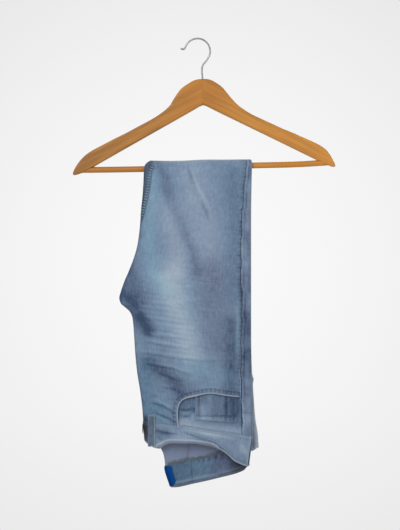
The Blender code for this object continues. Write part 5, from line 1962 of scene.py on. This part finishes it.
class JEANS_OT_stitching(bpy.types.Operator):
    """Topstitching on the pockets, waistband, seams and hems"""

    bl_idname = "jeans.stitching"
    bl_label = "Stitching"

    def execute(self, context):
        cloth = context.scene.jeans_cloth
        pitch = cloth.stitch_pitch / MM
        skin = WALL / 2 + THREAD_LIFT
        band = BAND_RAISE + BAND_WALL / 2 + THREAD_LIFT
        opening = curve_points(POCKET_OPENING, 1.5)
        lines = [drop_line("right front", side_of(opening, -offset), HEM_LIFT, pitch)
                 for offset in HEM_STITCHES]
        self.add("pocket_hem_stitches", lines, cloth)
        left, right = COIN_POCKET_ENDS
        on_coin = lambda x, level: COIN_LIFT - facing_sink(x, level) + skin
        lines = []
        for x, end in ((left + 1.5, 0), (left + 8.5, 0), (right - 1.5, 1), (right - 8, 1)):
            path = ((x, COIN_POCKET_TOP - 2), (x, COIN_POCKET_HEM[end] + 1))
            lines.append(drop_line("right front", path, on_coin, pitch))
        for rise in (1.8, 8):
            path = ((left + 1, COIN_POCKET_HEM[0] + rise), (right - 1, COIN_POCKET_HEM[1] + rise))
            lines.append(drop_line("right front", path, on_coin, pitch))
        self.add("coin_pocket_stitches", lines, cloth)
        lines = []
        xs = np.linspace(-84, 88, 60)
        for share in (0.1, 0.94):
            path = np.stack([xs, mix(front_seam(xs), front_edge(xs), share)], axis=-1)
            lines.append(drop_line("right front", path, band, pitch))
        inside = np.linspace(-8, 84, 50)
        path = np.stack([inside, mix(back_seam(inside), back_edge(inside), 0.82)], axis=-1)
        lines.append(drop_line("right back", path, BAND_WALL / 2 + THREAD_LIFT, pitch))
        self.add("waistband_stitches", lines, cloth)
        xs = np.arange(-50, 84, 0.8)
        zigzag = back_seam(xs) + 1.4 + 0.6 * np.sin(xs / 4)
        zigzag += 2.2 * np.where(np.arange(len(xs)) % 2, 1, -1)
        lines = [drop_line("right back", np.stack([xs, zigzag], axis=-1), 1.3 * MM, 2.1)]
        fuzzy = np.stack([xs + 0.4, zigzag + 1.2 + 0.8 * np.sin(xs / 1.7)], axis=-1)[:70]
        lines.append(drop_line("right back", fuzzy, 1.7 * MM, 2.3))
        self.add("overlock_stitches", lines, cloth, "overlock_thread")
        xs = np.linspace(-25, 76, 40)
        path = np.stack([xs, front_seam(xs) + 2.6], axis=-1)
        lines = [drop_line("right front", path, 1 * MM, pitch)]
        self.add("pocket_top_stitches", lines, cloth)
        self.add("leg_hem_stitches", [self.leg_hem_line(HEM_LINE_RISE, cloth.stitch_pitch)], cloth)
        self.add("side_seam_stitches", [self.beside_seam(2.6, cloth.stitch_pitch)], cloth)
        lines = [self.beside_seam(-2.9, CROSS_PITCH, True)]
        self.add("inseam_stitches", lines, cloth, "inseam_thread", True)
        return {"FINISHED"}

    def beside_seam(self, distance, pitch, at_inseam=False):
        """Line along the outer side seam or inseam, over the bar."""
        points, normals = [], []
        for row in leg_rows(6):
            along = row.right("right") - row.left() - row.strip() + distance * MM
            if at_inseam:
                along = row.inseam_turn() + distance * MM
            if along > 1.6 * MM:
                spot, out = outer_face(row, along, WALL / 2 + THREAD_LIFT)
                points.append(spot)
                normals.append(out)
        return np.array(points), np.array(normals), pitch

    def leg_hem_line(self, rise, pitch):
        """Line round the outer face of the leg, above its hem."""
        row = Row("behind", LEG_HEM_LEVEL + rise)
        reach = row.right("right") - row.left()
        runs = np.linspace(4 * MM, reach - 4 * MM, 60)
        points, normals = zip(*[outer_face(row, run, WALL / 2 + THREAD_LIFT) for run in runs])
        return np.array(points), np.array(normals), pitch

    def add(self, name, lines, cloth, look="thread", across=False):
        length, radius = cloth.stitch_length, cloth.thread_radius
        if across:
            length, radius = CROSS_LENGTH, CROSS_RADIUS
        mesh = stitch_mesh(name, lines, length, radius, across)
        finished(mesh, name, (look,))


class JEANS_PT_panel(bpy.types.Panel):
    """Lists the steps that make the jeans and their stage"""

    bl_label = "Jeans on a hanger"
    bl_idname = "JEANS_PT_panel"
    bl_space_type = "VIEW_3D"
    bl_region_type = "UI"
    bl_category = "Jeans"

    def draw(self, context):
        layout = self.layout
        for step in STEPS:
            layout.operator(step.bl_idname)
        for group in (context.scene.jeans_cloth, context.scene.jeans_hanger, context.scene.jeans_stage):
            box = layout.box()
            for name in group.bl_rna.properties.keys():
                if name not in ("rna_type", "name"):
                    box.prop(group, name)


SETTINGS = (ClothSettings, HangerSettings, StageSettings)
STEPS = (
    JEANS_OT_stage, JEANS_OT_hanger_arms, JEANS_OT_bar, JEANS_OT_hook, JEANS_OT_leg_panels,
    JEANS_OT_yokes, JEANS_OT_waistbands, JEANS_OT_pockets, JEANS_OT_belt_loops, JEANS_OT_fly,
    JEANS_OT_button, JEANS_OT_label, JEANS_OT_stitching,
)


def register():
    for made in SETTINGS + STEPS + (JEANS_PT_panel,):
        bpy.utils.register_class(made)
    bpy.types.Scene.jeans_cloth = bpy.props.PointerProperty(type=ClothSettings)
    bpy.types.Scene.jeans_hanger = bpy.props.PointerProperty(type=HangerSettings)
    bpy.types.Scene.jeans_stage = bpy.props.PointerProperty(type=StageSettings)


def unregister():
    del bpy.types.Scene.jeans_stage
    del bpy.types.Scene.jeans_hanger
    del bpy.types.Scene.jeans_cloth
    for made in reversed(SETTINGS + STEPS + (JEANS_PT_panel,)):
        bpy.utils.unregister_class(made)


def main():
    register()
    bpy.ops.jeans.stage()
    bpy.ops.jeans.hanger_arms()
    bpy.ops.jeans.bar()
    bpy.ops.jeans.hook()
    bpy.ops.jeans.leg_panels()
    bpy.ops.jeans.yokes()
    bpy.ops.jeans.waistbands()
    bpy.ops.jeans.pockets()
    bpy.ops.jeans.belt_loops()
    bpy.ops.jeans.fly()
    bpy.ops.jeans.button()
    bpy.ops.jeans.label()
    bpy.ops.jeans.stitching()


if __name__ == "__main__":
    main()
